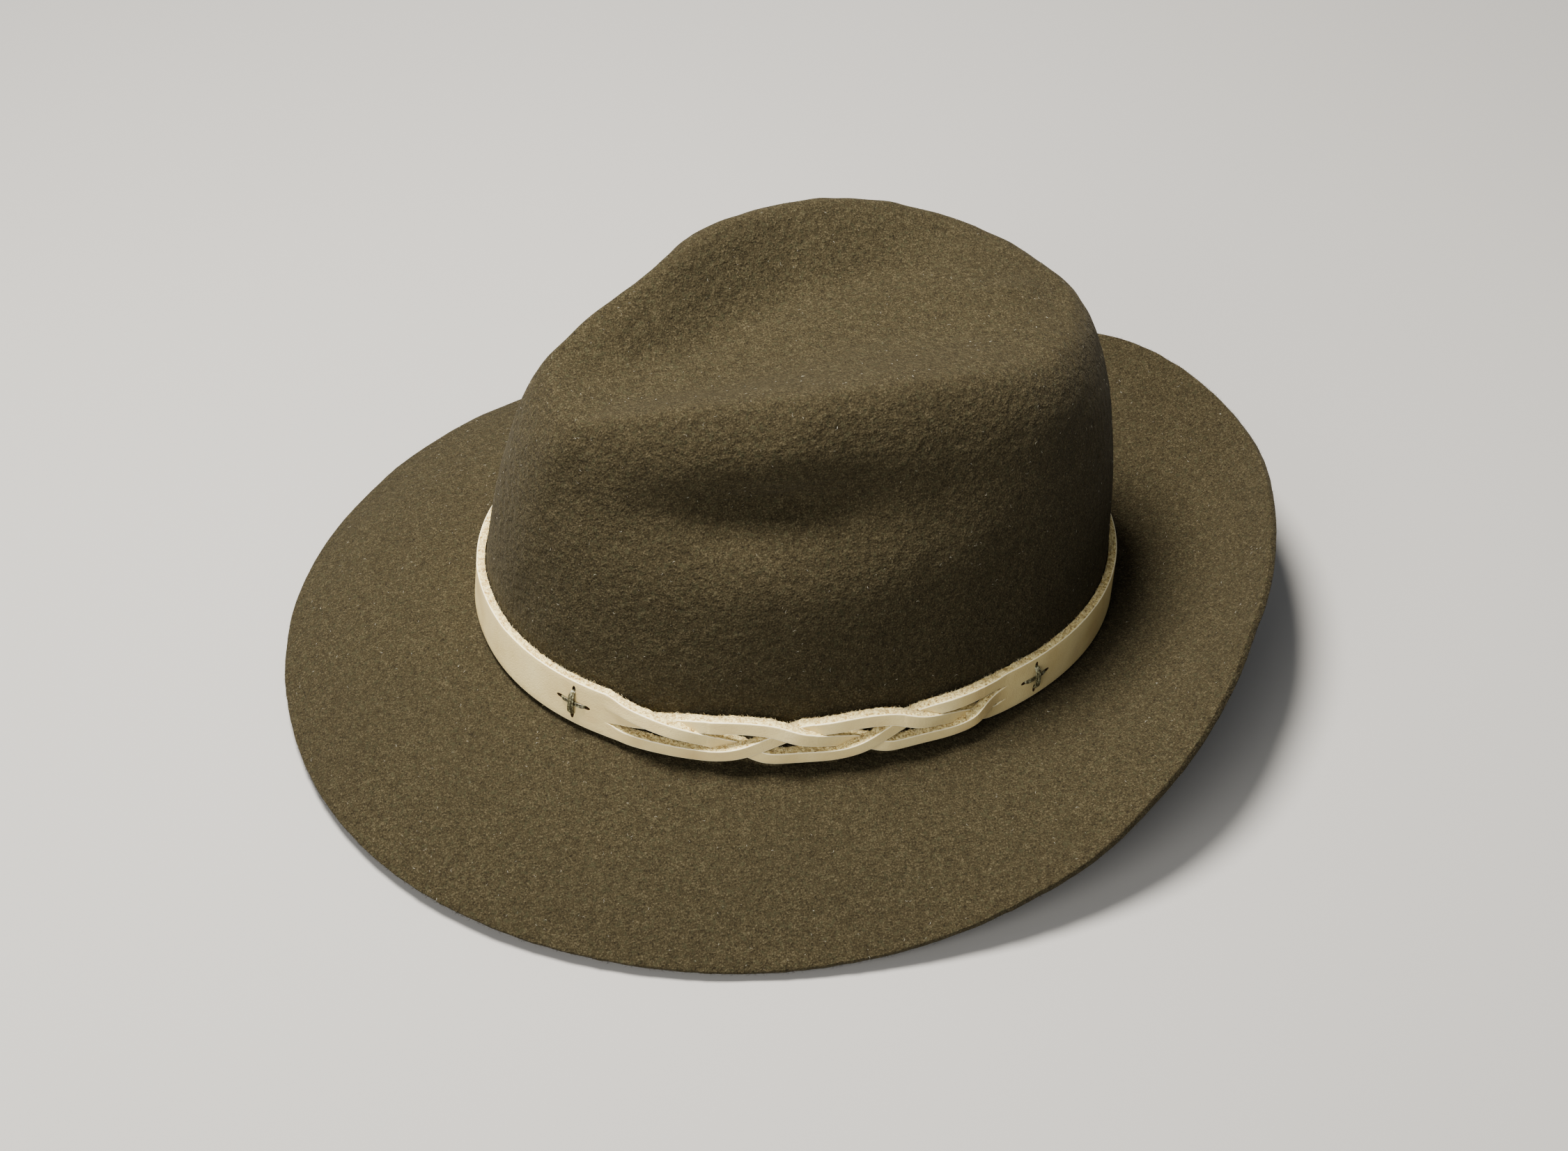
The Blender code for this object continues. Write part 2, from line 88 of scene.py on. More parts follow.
Floor = namedtuple("Floor", "along height")
FLOOR = [Floor(*row) for row in (
    (-0.60, 0.807), (-0.30, 0.807), (0.00, 0.842), (0.30, 0.877), (0.50, 0.912), (0.62, 0.930))]

Dent = namedtuple("Dent", "angle height wide tall depth rise")
DENTS = [Dent(117, 0.70, 26.0, 0.105, 0.080, 0.0012), Dent(233, 0.665, 24.0, 0.205, 0.104, 0.0033)]

Crossing = namedtuple("Crossing", "over under")
CROSSINGS = [Crossing(*pair) for pair in ("AB", "CA", "BC", "AB", "CA", "BC")]
print(len(BRIM), "brim rows,", len(RIDGE), "ridge rows,", len(CROSSINGS), "crossings in the braid")

# %% [markdown]
# ## Reading a table smoothly
# A table row is like one wooden gauge held to the hat. Between gauges the felt flows without
# overshooting, so the curve through the rows is a cubic whose slopes are kept from swinging past them.

# %% Smooth table readers
def smooth(xs, ys, x):
    """Cubic through the table's points without overshoot."""
    xs, ys, x = np.asarray(xs, float), np.asarray(ys, float), np.asarray(x, float)
    h, d = np.diff(xs), np.diff(ys) / np.diff(xs)
    m = np.zeros_like(ys)
    same = d[:-1] * d[1:] > 0
    w1, w2 = 2 * h[1:] + h[:-1], h[1:] + 2 * h[:-1]
    safe = np.where(same, d[:-1] * d[1:], 1.0)
    m[1:-1] = np.where(same, safe * (w1 + w2) / (w1 * d[1:] + w2 * d[:-1] + 1e-30), 0.0)
    m[0], m[-1] = d[0], d[-1]
    i = np.clip(np.searchsorted(xs, x, side="right") - 1, 0, len(h) - 1)
    t = (x - xs[i]) / h[i]
    return ((1 + 2 * t) * (1 - t) ** 2 * ys[i] + t * (1 - t) ** 2 * h[i] * m[i]
            + t * t * (3 - 2 * t) * ys[i + 1] + t * t * (t - 1) * h[i] * m[i + 1])


def around(rows, column, angle):
    """Table column at any angle in degrees, joined round the full circle."""
    xs = np.array([row.angle for row in rows], float)
    ys = np.array([getattr(row, column) for row in rows], float)
    xs = np.concatenate([xs[-3:] - 360, xs, xs[:3] + 360])
    ys = np.concatenate([ys[-3:], ys, ys[:3]])
    return smooth(xs, ys, np.mod(angle, 360))


def half_table(column, angle, odd=False):
    """Ridge column, mirrored from the braided side to the far side."""
    a = np.mod(angle, 360)
    side = np.where(a > 180, -1.0, 1.0)
    xs = np.array([row.angle for row in RIDGE], float)
    ys = np.array([getattr(row, column) for row in RIDGE])
    mirror = -1 if odd else 1
    full_x = np.concatenate([-xs[2:0:-1], xs, 360 - xs[-2:-4:-1]])
    full_y = np.concatenate([mirror * ys[2:0:-1], ys, mirror * ys[-2:-4:-1]])
    value = smooth(full_x, full_y, np.where(a > 180, 360 - a, a))
    return value * side if odd else value


print("brim slope at the front:", float(around(BRIM, "slope", 180.0)))

# %% [markdown]
# ## The felt's middle surface
# Felt has one thickness all over, so it is enough to describe the sheet halfway through it: brim,
# the bend at the break, the wall up to the ridge, and the valley pressed into the top.

# %% Head oval
def signed_power(value, power):
    return np.sign(value) * np.maximum(np.abs(value), 1e-12) ** power


def oval(angle, offset):
    """Point and outward normal of the head oval, moved out along the normal by offset."""
    t = np.radians(angle)
    e = 2 / HEAD_POWER
    a, b = HEAD_LENGTH / 2, HEAD_WIDTH / 2
    x, y = b * signed_power(np.sin(t), e), a * signed_power(np.cos(t), e)
    nx = signed_power(x / b, HEAD_POWER - 1) / b
    ny = signed_power(y / a, HEAD_POWER - 1) / a
    n = np.hypot(nx, ny)
    return x + offset * nx / n, y + offset * ny / n, nx / n, ny / n


print("half length of the head:", round(float(oval(0.0, 0.0)[1]), 4))

# %% [markdown]
# ## Brim and break
# The brim leaves the head flatter than it ends, because an iron curls it outwards from the break. Its
# slope is added up in small steps along its width, which bends it without stretching it.

# %% Brim and break
BRIM_CURL, SLOPE_STEPS = 0.6, 24


def start_slope(angle):
    """Slope of the brim where it leaves the break."""
    return np.radians(around(BRIM, "slope", angle)) * (1 - BRIM_CURL)


def brim_point(angle, share):
    """Share 0 is the break, 1 the cut edge."""
    x, y, nx, ny = oval(angle, FELT_THICKNESS / 2 + BREAK_RADIUS)
    slope = np.radians(around(BRIM, "slope", angle))
    length = BRIM_WIDTH * around(BRIM, "width", angle) - BREAK_RADIUS
    out, up = np.zeros_like(x), np.zeros_like(x)
    for k in range(SLOPE_STEPS):
        here = slope * (1 - BRIM_CURL + 2 * BRIM_CURL * share * (k + 0.5) / SLOPE_STEPS)
        out = out + np.cos(here) * length * share / SLOPE_STEPS
        up = up + np.sin(here) * length * share / SLOPE_STEPS
    return x + out * nx, y + out * ny, up - BREAK_RADIUS * (1 - np.cos(start_slope(angle)))


def break_point(angle, share):
    """Share 0 meets the brim, 1 the wall."""
    start = start_slope(angle)
    turn = start + (np.pi / 2 - start) * share
    x, y, nx, ny = oval(angle, FELT_THICKNESS / 2)
    out = BREAK_RADIUS * (1 - np.sin(turn))
    return x + out * nx, y + out * ny, BREAK_RADIUS * (np.cos(start) - np.cos(turn))


print("brim edge at the front, metres:", [round(float(v), 4) for v in brim_point(180.0, 1.0)])

# %% [markdown]
# ## Crown wall
# The wall rises nearly straight and rounds over into the ridge, like a quarter of a rounded square.
# Thumb and finger press a soft dent into each side, so a dent is a smooth bump taken away.

# %% Crown wall with its dents
DENT_FADE = 0.25        # share of the crown's height over which the dents come in above the band


def ridge_point(angle):
    return (HEAD_WIDTH / 2 * half_table("across", angle, odd=True),
            HEAD_LENGTH / 2 * half_table("along", angle),
            CROWN_HEIGHT * half_table("height", angle))


def dent_depth(angle, height):
    """How far the wall is pressed in by the fingers."""
    total = np.zeros_like(height)
    for dent in DENTS:
        turn = np.mod(angle - dent.angle + 180, 360) - 180
        rise = height / CROWN_HEIGHT - dent.height + turn * dent.rise
        soft = np.exp(-(turn / dent.wide) ** 2 - (rise / dent.tall) ** 2)
        total = total + dent.depth * HEAD_WIDTH * soft
    keep = np.clip((height - BAND_LIFT - BAND_HEIGHT) / (DENT_FADE * CROWN_HEIGHT), 0, 1)
    return total * keep * keep * (3 - 2 * keep)


def wall_point(angle, share):
    """Share 0 meets the break, 1 the ridge."""
    bx, by, nx, ny = oval(angle, FELT_THICKNESS / 2)
    rx, ry, rz = ridge_point(angle)
    power = half_table("power", angle)
    turn = share * np.pi / 2
    low = BREAK_RADIUS * np.cos(start_slope(angle))
    z = low + (rz - low) * np.sin(turn) ** (2 / power)
    base = np.maximum(np.cos(turn), 0.0) ** (2 / power)
    x, y = rx + (bx - rx) * base, ry + (by - ry) * base
    push = dent_depth(angle, z)
    return x - push * nx, y - push * ny, z


print("ridge at the side, metres:", [round(float(v), 4) for v in ridge_point(90.0)])

# %% [markdown]
# ## Valley in the top
# The edge of the hand presses a long teardrop valley into the top. Every line from the ridge runs
# down to one spine, which lies a little to the side, and meets it level.

# %% Valley in the top
SPINE_SHARE, VALLEY_ASIDE = 0.72, 0.21
VALLEY_RUN, VALLEY_EASE = 0.85, 0.8     # how far in the floor is reached, and how early it falls


def valley_point(angle, share):
    """Share 0 is the ridge, 1 the spine of the valley."""
    rx, ry, rz = wall_point(angle, 1.0)
    sy = SPINE_SHARE * ridge_point(angle)[1]
    xs = [row.along for row in FLOOR]
    ys = [row.height for row in FLOOR]
    sz = CROWN_HEIGHT * smooth(xs, ys, np.clip(sy / (HEAD_LENGTH / 2), xs[0], xs[-1]))
    fall = np.minimum(share / VALLEY_RUN, 1.0) ** VALLEY_EASE
    z = rz + (sz - rz) * (1 - np.cos(np.pi * fall)) / 2
    aside = -VALLEY_ASIDE * HEAD_WIDTH / 2 * np.sin(np.radians(angle)) ** 2
    return rx + (aside - rx) * share, ry + (sy - ry) * share, z


print("floor of the valley at its middle, metres:", round(float(valley_point(90.0, 1.0)[2]), 4))

# %% [markdown]
# ## A fine grid over the felt
# Rings run from the cut edge up over the crown and down to the valley's spine. Each ring has the same
# number of points, so the sheet is a plain grid and its outer and inner faces are the same grid
# pushed half a thickness each way.

# %% Rings of the felt
COLUMNS = 336
BRIM_RINGS, BREAK_RINGS, WALL_RINGS, VALLEY_RINGS = 34, 6, 50, 30
BRIM_STOP, WALL_CROWDING, VALLEY_STOP = 0.02, 0.95, 0.97
TINY = 1e-12


def felt_grid():
    angle = (np.arange(COLUMNS) + 0.5) * 360 / COLUMNS
    parts = ((brim_point, np.linspace(1, BRIM_STOP, BRIM_RINGS)),
             (break_point, np.linspace(0, 1, BREAK_RINGS)),
             (wall_point, np.linspace(0, 1, WALL_RINGS + 1)[1:] ** WALL_CROWDING),
             (valley_point, np.linspace(0, VALLEY_STOP, VALLEY_RINGS + 1)[1:]))
    rings = [point(angle, share) for point, shares in parts for share in shares]
    return np.array([np.column_stack([np.broadcast_to(c, angle.shape) for c in ring])
                     for ring in rings])


def unit(vectors, tiny=0.0):
    """Vectors of length one. Tiny guards those that may have no length."""
    return vectors / (np.linalg.norm(vectors, axis=-1, keepdims=True) + tiny)


def grid_normals(grid):
    """Normals on the outside of the hat."""
    sideways = np.roll(grid, -1, 1) - np.roll(grid, 1, 1)
    return unit(np.cross(np.gradient(grid, axis=0), sideways), TINY)


sheet = felt_grid()
print("felt grid:", sheet.shape[0], "rings of", sheet.shape[1])

# %% [markdown]
# ## Unevenness made by hand
# Steamed felt is never perfectly even: the brim has a slow wave and the surface small swells. Waves in
# random directions, added up, give that without any picture. The part under the band stays true,
# so the leather still clears it.

# %% Waves in random directions
WAVES, LENGTH_SPREAD = 18, (0.7, 1.5)
Swell = namedtuple("Swell", "height length seed")


def ripple(points, length, seed):
    """Smooth random swell with about the given wavelength and unit strength."""
    rng = np.random.default_rng(seed)
    total = np.zeros(points.shape[:-1])
    for _ in range(WAVES):
        way = rng.normal(size=3)
        way *= 2 * np.pi / (length * rng.uniform(*LENGTH_SPREAD) * np.linalg.norm(way))
        total += np.sin(points @ way + rng.uniform(0, 2 * np.pi))
    return total / np.sqrt(WAVES / 2)


def swells(points, *rows):
    return sum(row.height * ripple(points, row.length, row.seed) for row in rows)


print("strength of a ripple:", round(float(ripple(sheet[::8, ::8], 0.03, 3).std()), 2))

# %% Slow swells in the felt
BRIM_KIND, BREAK_KIND, WALL_KIND, VALLEY_KIND = range(4)
SWELL_FADE, BRIM_CALM = 0.012, 0.6
ring_kind = np.repeat((BRIM_KIND, BREAK_KIND, WALL_KIND, VALLEY_KIND),
                      (BRIM_RINGS, BREAK_RINGS, WALL_RINGS, VALLEY_RINGS))
wall_height = sheet[..., 2]
free = np.where(ring_kind[:, None] == WALL_KIND,
                np.clip((wall_height - BAND_LIFT - BAND_HEIGHT) / SWELL_FADE, 0, 1), 1.0)
free[ring_kind == BREAK_KIND] = 0.0
free[:BRIM_RINGS] = np.linspace(1, 0, BRIM_RINGS)[:, None] ** 0.5
normals = grid_normals(sheet)
swell = swells(sheet, Swell(0.00020, 0.030, 3), Swell(0.00007, 0.008, 4))
swell[:BRIM_RINGS] *= BRIM_CALM
sheet = sheet + normals * (free * swell)[..., None]
brim_wave = swells(sheet, Swell(0.0003, 0.14, 5))
sheet[:, :, 2] += brim_wave * free * (ring_kind[:, None] == BRIM_KIND)
normals = grid_normals(sheet)
print("largest swell, mm:", round(float(np.abs(free * swell).max() * 1000), 2))

# %% [markdown]
# ## Placing the hat
# The CAD model was leaned until it rested on its brim and then centred on the floor. Leaning by the
# same angle and matching the felt's box puts every new piece where the CAD has it.

# %% Rest pose
def leaned(points):
    c, s = np.cos(REST_LEAN), np.sin(REST_LEAN)
    points = np.asarray(points, float)
    x, y, z = points[..., 0], points[..., 1], points[..., 2]
    return np.stack([x, y * c + z * s, -y * s + z * c], -1)


felt_low, felt_high = (np.array(corner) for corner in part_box("felt_body"))
plain = felt_grid()
plain_normal = grid_normals(plain)
shell = leaned(np.concatenate([plain + plain_normal * FELT_THICKNESS / 2,
                               plain - plain_normal * FELT_THICKNESS / 2]).reshape(-1, 3))
shift = (felt_low + felt_high) / 2 - (shell.min(0) + shell.max(0)) / 2
shift[2] = felt_low[2] - shell[:, 2].min()


def placed(points):
    """Hat coordinates to the frame's coordinates."""
    return leaned(points) + shift


print("shift to the frame, mm:", (shift * 1000).round(2))

# %% [markdown]
# ## Mesh helpers
# Every piece here ends as one closed mesh. A grid is quickest to list from index arithmetic, and
# bmesh then turns all faces outwards.

# %% Mesh helpers
def ring_faces(rows, columns):
    """Quads between neighbouring rings of a grid."""
    i = np.arange(columns)
    j = (i + 1) % columns
    r = np.arange(rows - 1)[:, None] * columns
    quads = np.stack([r + i, r + j, r + columns + j, r + columns + i], -1)
    return [tuple(int(v) for v in quad) for quad in quads.reshape(-1, 4)]


def capped_faces(rows, columns):
    """The same with a flat face at each end."""
    last = (rows - 1) * columns
    return ring_faces(rows, columns) + [tuple(range(columns)), tuple(range(last, last + columns))]


def add_object(name, data):
    made = bpy.data.objects.new(name, data)
    bpy.context.scene.collection.objects.link(made)
    return made


def make_piece(name, points, faces, materials, kinds=None, sharp=None, flip=True):
    """Mesh object that rides on the hat. Edges over sharp degrees are shaded as corners."""
    mesh = bpy.data.meshes.new(name)
    mesh.from_pydata([tuple(p) for p in np.asarray(points).tolist()], [], faces)
    for item in materials:
        mesh.materials.append(item)
    if kinds is not None:
        mesh.polygons.foreach_set("material_index", np.asarray(kinds, dtype=np.int32))
    if flip:
        bm = bmesh.new()
        bm.from_mesh(mesh)
        bmesh.ops.recalc_face_normals(bm, faces=bm.faces)
        bm.to_mesh(mesh)
        bm.free()
    mesh.polygons.foreach_set("use_smooth", [True] * len(mesh.polygons))
    if sharp:
        mesh.set_sharp_from_angle(angle=radians(sharp))
    piece = add_object(name, mesh)
    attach(piece, "root")
    print(name, "has", len(mesh.polygons), "faces")
    return piece


# %% [markdown]
# ## Writing shaders as arithmetic
# A shader is a small formula. Wrapping a socket in a class with + - * lets the formula be read as
# one, while Blender still gets ordinary Math, Vector Math and Mix nodes.

# %% Socket class
class Wire:
    """One output socket with arithmetic."""

    def __init__(self, graph, socket):
        self.graph, self.socket = graph, socket

    def _is_vector(self, other):
        kinds = [w.socket.type for w in (self, other) if isinstance(w, Wire)]
        return any(kind in ("VECTOR", "RGBA") for kind in kinds)

    def _maths(self, operation, first, second):
        kind = "ShaderNodeMath"
        if self._is_vector(second if first is self else first):
            kind = "ShaderNodeVectorMath"
            first, second = (v if isinstance(v, (Wire, tuple)) else (v, v, v) for v in (first, second))
        return self.graph.node(kind, {"operation": operation}, {0: first, 1: second})

    def __add__(self, other):
        return self._maths("ADD", self, other)

    def __sub__(self, other):
        return self._maths("SUBTRACT", self, other)

    def __rsub__(self, other):
        return self._maths("SUBTRACT", other, self)

    def __mul__(self, other):
        return self._maths("MULTIPLY", self, other)

    __radd__, __rmul__ = __add__, __mul__


print("a socket now takes + - and *")

# %% [markdown]
# ## A finish as a node tree
# Every finish below is one tree of nodes. One method makes any node, and a few short ones name the
# nodes that are used most, so a finish reads as what it is made of: noise, streaks, ramps, windows.

# %% Graph class
class Graph:
    """Node tree of one new material."""

    def __init__(self, name):
        self.material = bpy.data.materials.new(name)
        self.material.use_nodes = True
        self.tree = self.material.node_tree
        self.shader = self.tree.nodes["Principled BSDF"]

    def node(self, kind, settings=None, sockets=None, out=0):
        """Any node: its settings first, then values or links of its sockets."""
        made = self.tree.nodes.new(kind)
        for key, value in (settings or {}).items():
            if key == "stops":
                ramp = made.color_ramp
                while len(ramp.elements) < len(value):
                    ramp.elements.new(0.5)
                for element, (place, colour) in zip(ramp.elements, value):
                    element.position, element.color = place, (*colour, 1.0)
            else:
                setattr(made, key, value)
        for key, value in (sockets or {}).items():
            self.plug(made.inputs[key], value)
        return Wire(self, made.outputs[out])

    def plug(self, socket, value):
        if isinstance(value, Wire):
            self.tree.links.new(value.socket, socket)
        elif socket.type == "RGBA" and len(value) == 3:
            socket.default_value = (*value, 1.0)
        else:
            socket.default_value = value

    def place(self):
        """Position on the piece in metres."""
        return self.node("ShaderNodeTexCoord", out=3)

    def noise(self, place, size, detail=3.0, roughness=0.6):
        """Noise whose blobs are about size metres across, from 0 to 1."""
        return self.node("ShaderNodeTexNoise", None, {
            "Vector": place, "Scale": 0.5 / size, "Detail": detail, "Roughness": roughness})

    def streaks(self, place, turn, length, width):
        """Noise drawn out along one direction, like fibres that lie that way."""
        turned = self.node("ShaderNodeVectorRotate", {"rotation_type": "EULER_XYZ"},
                           {"Vector": place, "Rotation": turn})
        stretched = turned * (width / length, 1.0, 1.0)
        return self.noise(stretched, width, 2.0, 0.5)

    def fibres(self, place, lays, length, width):
        """Streaks in several directions, each with its share."""
        total = 0.0
        for lay in lays:
            total = self.streaks(place, lay.turn, length, width) * lay.share + total
        return total

    def ramp(self, value, stops):
        return self.node("ShaderNodeValToRGB", {"stops": stops}, {"Fac": value})

    def window(self, value, low, high):
        """0 below low, 1 above high."""
        return self.node("ShaderNodeMapRange", {"clamp": True},
                         {"Value": value, "From Min": low, "From Max": high})

    def blend(self, amount, first, second):
        """Mix of two colours."""
        return self.node("ShaderNodeMix", {"data_type": "RGBA"},
                         {0: amount, 6: first, 7: second}, out=2)

    def bump(self, height, distance, strength=1.0):
        return self.node("ShaderNodeBump", None,
                         {"Height": height, "Distance": distance, "Strength": strength})

    def finish(self, **inputs):
        """Plug the shader: underscores stand for spaces."""
        for key, value in inputs.items():
            self.plug(self.shader.inputs[key.replace("_", " ")], value)
        print("material", self.material.name, "has", len(self.tree.nodes), "nodes")
        return self.material


# %% [markdown]
# ## Felt
# Wool felt is a mat of short fibres in several dyes. Seen close it is a salt-and-pepper of brown,
# green and grey with a few pale hairs, and it scatters light softly at its edges. Streaked noise in
# several directions gives the fibres, sheen gives the soft edge.

# %% Felt material
Lay = namedtuple("Lay", "turn share")
FELT_LAYS = [Lay((0.3, 0.5, 0.2), 0.3), Lay((1.4, 0.2, 1.1), 0.3),
             Lay((0.6, 1.3, 2.2), 0.2), Lay((2.1, 0.7, 0.9), 0.2)]
FELT_TONES = [(0.26, (0.0055, 0.004, 0.0018)), (0.42, (0.019, 0.0146, 0.0066)),
              (0.54, (0.0305, 0.024, 0.011)), (0.72, (0.072, 0.06, 0.033))]
GREEN_DYE, DULL_PATCH = (0.031, 0.032, 0.0155), (0.02, 0.0156, 0.0074)
SHEEN_TINT = (0.66, 0.58, 0.40, 1.0)


def felt_material():
    g = Graph("felt_wool")
    p = g.place()
    fibres = g.fibres(p, FELT_LAYS, 0.0012, 0.00021)
    grain = g.noise(p, 0.00030, 2.0, 0.7)
    pile = g.noise(p, 0.0013, 2.0, 0.6)
    patches = g.noise(p, 0.022, 3.0, 0.55)
    mix = fibres * 1.3 + grain * 0.6 + pile * 0.22 - 0.56
    colour = g.ramp(mix, FELT_TONES)
    green = g.window(g.noise(p + (0.37, 0.11, 0.53), 0.0007, 2.0, 0.6), 0.52, 0.70)
    colour = g.blend(green * 0.45, colour, GREEN_DYE)
    colour = g.blend(g.window(patches, 0.40, 0.75) * 0.22, colour, DULL_PATCH)
    height = fibres * 0.8 + grain * 0.4 + pile * 2.2
    normal = g.bump(height, 0.00050, 1.0)
    return g.finish(Sheen_Weight=0.04, Sheen_Roughness=0.5, Sheen_Tint=SHEEN_TINT,
                    Specular_IOR_Level=0.10, Base_Color=colour, Roughness=grain * 0.12 + 0.86,
                    Normal=normal)


felt_wool = felt_material()

# %% [markdown]
# ## The felt body
# The brim is raw: it is cut once and never bound, so its edge is square with the corners just
# broken. The rim gets a few rings of its own, pushed about by a fine ripple.

# %% Felt body mesh
RIM_RINGS, RIM_SQUARE, RIM_ROUND, RIM_BULGE = 5, 0.45, 0.6, 0.00035
RIM_RIPPLES = Swell(0.00005, 0.006, 11), Swell(0.00003, 0.002, 12)


def rim_rings(edge, normal, outward):
    """Rings across the cut edge, from the outer face to the inner one."""
    rings, rough = [], swells(edge, *RIM_RIPPLES)
    for turn in np.linspace(0, np.pi, RIM_RINGS + 2)[1:-1]:
        across = np.sign(np.cos(turn)) * np.abs(np.cos(turn)) ** RIM_SQUARE
        out = RIM_BULGE * np.sin(turn) ** RIM_ROUND
        rings.append(edge + normal * (FELT_THICKNESS / 2 * across) + outward * (out + rough)[:, None])
    return rings


def felt_body_piece():
    outer = sheet + normals * FELT_THICKNESS / 2
    inner = sheet - normals * FELT_THICKNESS / 2
    rim = np.array(rim_rings(sheet[0], normals[0], unit(sheet[0] - sheet[1])))
    points = np.concatenate([inner[::-1], rim[::-1], outer])
    count = len(points)
    faces = ring_faces(count, COLUMNS)
    for ring in (0, count - 1):
        start = ring * COLUMNS
        faces += [(start + i, start + i + 1, start + COLUMNS - 2 - i, start + COLUMNS - 1 - i)
                  for i in range(COLUMNS // 2 - 1)]
    return make_piece("felt_crown_and_brim", placed(points.reshape(-1, 3)), faces, [felt_wool])


felt = felt_body_piece()
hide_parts("felt_body")

# %% [markdown]
# ## Leather
# Undyed vegetable-tanned leather has a smooth cream grain side with faint pores and handling marks.
# A knife shows its loose fibre core, hands rub its corners smooth and their paler colour is a painted
# highlight, and an awl leaves holes painted dark as shade. These are four finishes on one strap, so
# each is a material and a face picks its own.

# %% Grain face of the leather
GRAIN_TONES = [(0.30, (0.600, 0.450, 0.195)), (0.50, (0.720, 0.580, 0.265)),
               (0.72, (0.790, 0.665, 0.330))]
SMUDGE, FINE_SOIL, PORE = (0.560, 0.410, 0.220), (0.560, 0.430, 0.250), (0.470, 0.350, 0.200)


def leather_face_material():
    g = Graph("leather_grain_face")
    p = g.place()
    cloud = g.noise(p, 0.010, 3.0, 0.55)
    smudge = g.window(g.noise(p + (0.2, 0.4, 0.1), 0.0040, 4.0, 0.65), 0.50, 0.76)
    pores = g.node("ShaderNodeTexVoronoi", {"feature": "F1"}, {"Vector": p, "Scale": 1700.0})
    fine = g.noise(p, 0.00045, 3.0, 0.7)
    colour = g.ramp(cloud, GRAIN_TONES)
    colour = g.blend(smudge * 0.30, colour, SMUDGE)
    colour = g.blend(g.window(fine, 0.50, 0.72) * 0.22, colour, FINE_SOIL)
    colour = g.blend((1.0 - g.window(pores, 0.10, 0.32)) * 0.14, colour, PORE)
    height = g.window(pores, 0.0, 0.5) * 0.5 + fine * 0.8 + cloud * 0.8
    return g.finish(Base_Color=colour, Roughness=fine * 0.10 + 0.52,
                    Normal=g.bump(height, 0.00012, 0.8), Specular_IOR_Level=0.28)


leather_face = leather_face_material()

# %% [markdown]
# ## Cut edge
# The cut shows the middle of the hide, a loose mat of fibres. The same streaks as in the felt serve,
# wider and paler, with dark crumbs between them and a strong bump. The crumbs are darkest where the
# bump is lowest, so their dark is partly the fibres' own tone and partly painted shade in the pits.

# %% Cut edge of the leather
CUT_LAYS = [Lay((0.2, 0.4, 1.3), 0.5), Lay((1.1, 0.3, 0.4), 0.5)]
# The darkest stop lands in the low points of the bump: painted shade in the pits, with some of the
# fibres' own dark.
CUT_TONES_AND_PIT_SHADE = [(0.30, (0.150, 0.080, 0.022)), (0.43, (0.520, 0.375, 0.132)),
             (0.57, (0.880, 0.755, 0.360))]


def leather_cut_material():
    g = Graph("leather_cut_edge")
    p = g.place()
    fibres = g.fibres(p, CUT_LAYS, 0.0013, 0.00024)
    crumbs_and_pit_shade = g.noise(p, 0.00055, 3.0, 0.75)
    colour = g.ramp(fibres * 0.7 + crumbs_and_pit_shade * 0.8 - 0.25, CUT_TONES_AND_PIT_SHADE)
    height = fibres + crumbs_and_pit_shade * 1.8
    return g.finish(Base_Color=colour, Roughness=0.93, Normal=g.bump(height, 0.00030, 0.8),
                    Specular_IOR_Level=0.15)


leather_cut = leather_cut_material()

# %% [markdown]
# ## Rubbed corner with a painted highlight
# Handling polishes the corner between face and cut, so it is smoother than both. Its paler colour is a
# painted highlight, the light that the rounded corner catches, and this thin bright line is what draws
# each strand. The waxed thread further on gets its painted highlight in the same way.

# %% Rubbed corner of the leather, with a painted highlight
# Both tones are a painted highlight, paler than the face and the cut beside them.
CORNER_HIGHLIGHT_TONES = [(0.30, (0.800, 0.660, 0.400)), (0.48, (0.930, 0.840, 0.540))]


def highlight_ramp_material(name, noise, tones, rough, bump, specular):
    """One noise drives the colour, the roughness and the bump; the pale stops of the ramp are a painted
    highlight.
    """
    g = Graph(name)
    highlight_noise = g.noise(g.place(), *noise)
    return g.finish(Base_Color=g.ramp(highlight_noise, tones), Roughness=highlight_noise * rough[0] + rough[1],
                    Normal=g.bump(highlight_noise, *bump), Specular_IOR_Level=specular)


leather_corner_highlight = highlight_ramp_material("leather_corner_painted_highlight", (0.0009, 3.0, 0.7), CORNER_HIGHLIGHT_TONES,
                              (0.1, 0.45), (0.00015, 0.7), 0.35)

# %% [markdown]
# ## Inside of an awl hole, painted shade
# An awl presses the leather aside into a deep, narrow hole. Little light gets in, so its walls are
# painted in two dark browns: painted shade.

# %% Inside of an awl hole
# Two dark browns of painted shade.
HOLE_SHADE_TONES = (0.018, 0.010, 0.004), (0.090, 0.052, 0.022)


def leather_hole_shade_material():
    g = Graph("leather_awl_hole_painted_shade")
    dark = g.noise(g.place(), 0.0006, 3.0, 0.6)
    return g.finish(Base_Color=g.blend(dark, *HOLE_SHADE_TONES), Roughness=0.9, Specular_IOR_Level=0.1)


leather_hole_shade = leather_hole_shade_material()
LEATHERS = [leather_face, leather_cut, leather_corner_highlight, leather_hole_shade]

# %% [markdown]
# ## Along the band
# Leather laces are thought of as distance along the band and height on it. Two small functions turn
# that into the oval, so the braid can be planned flat, as it is when it is cut. The crown draws in as
# it rises, and a tight strap leans in with it.

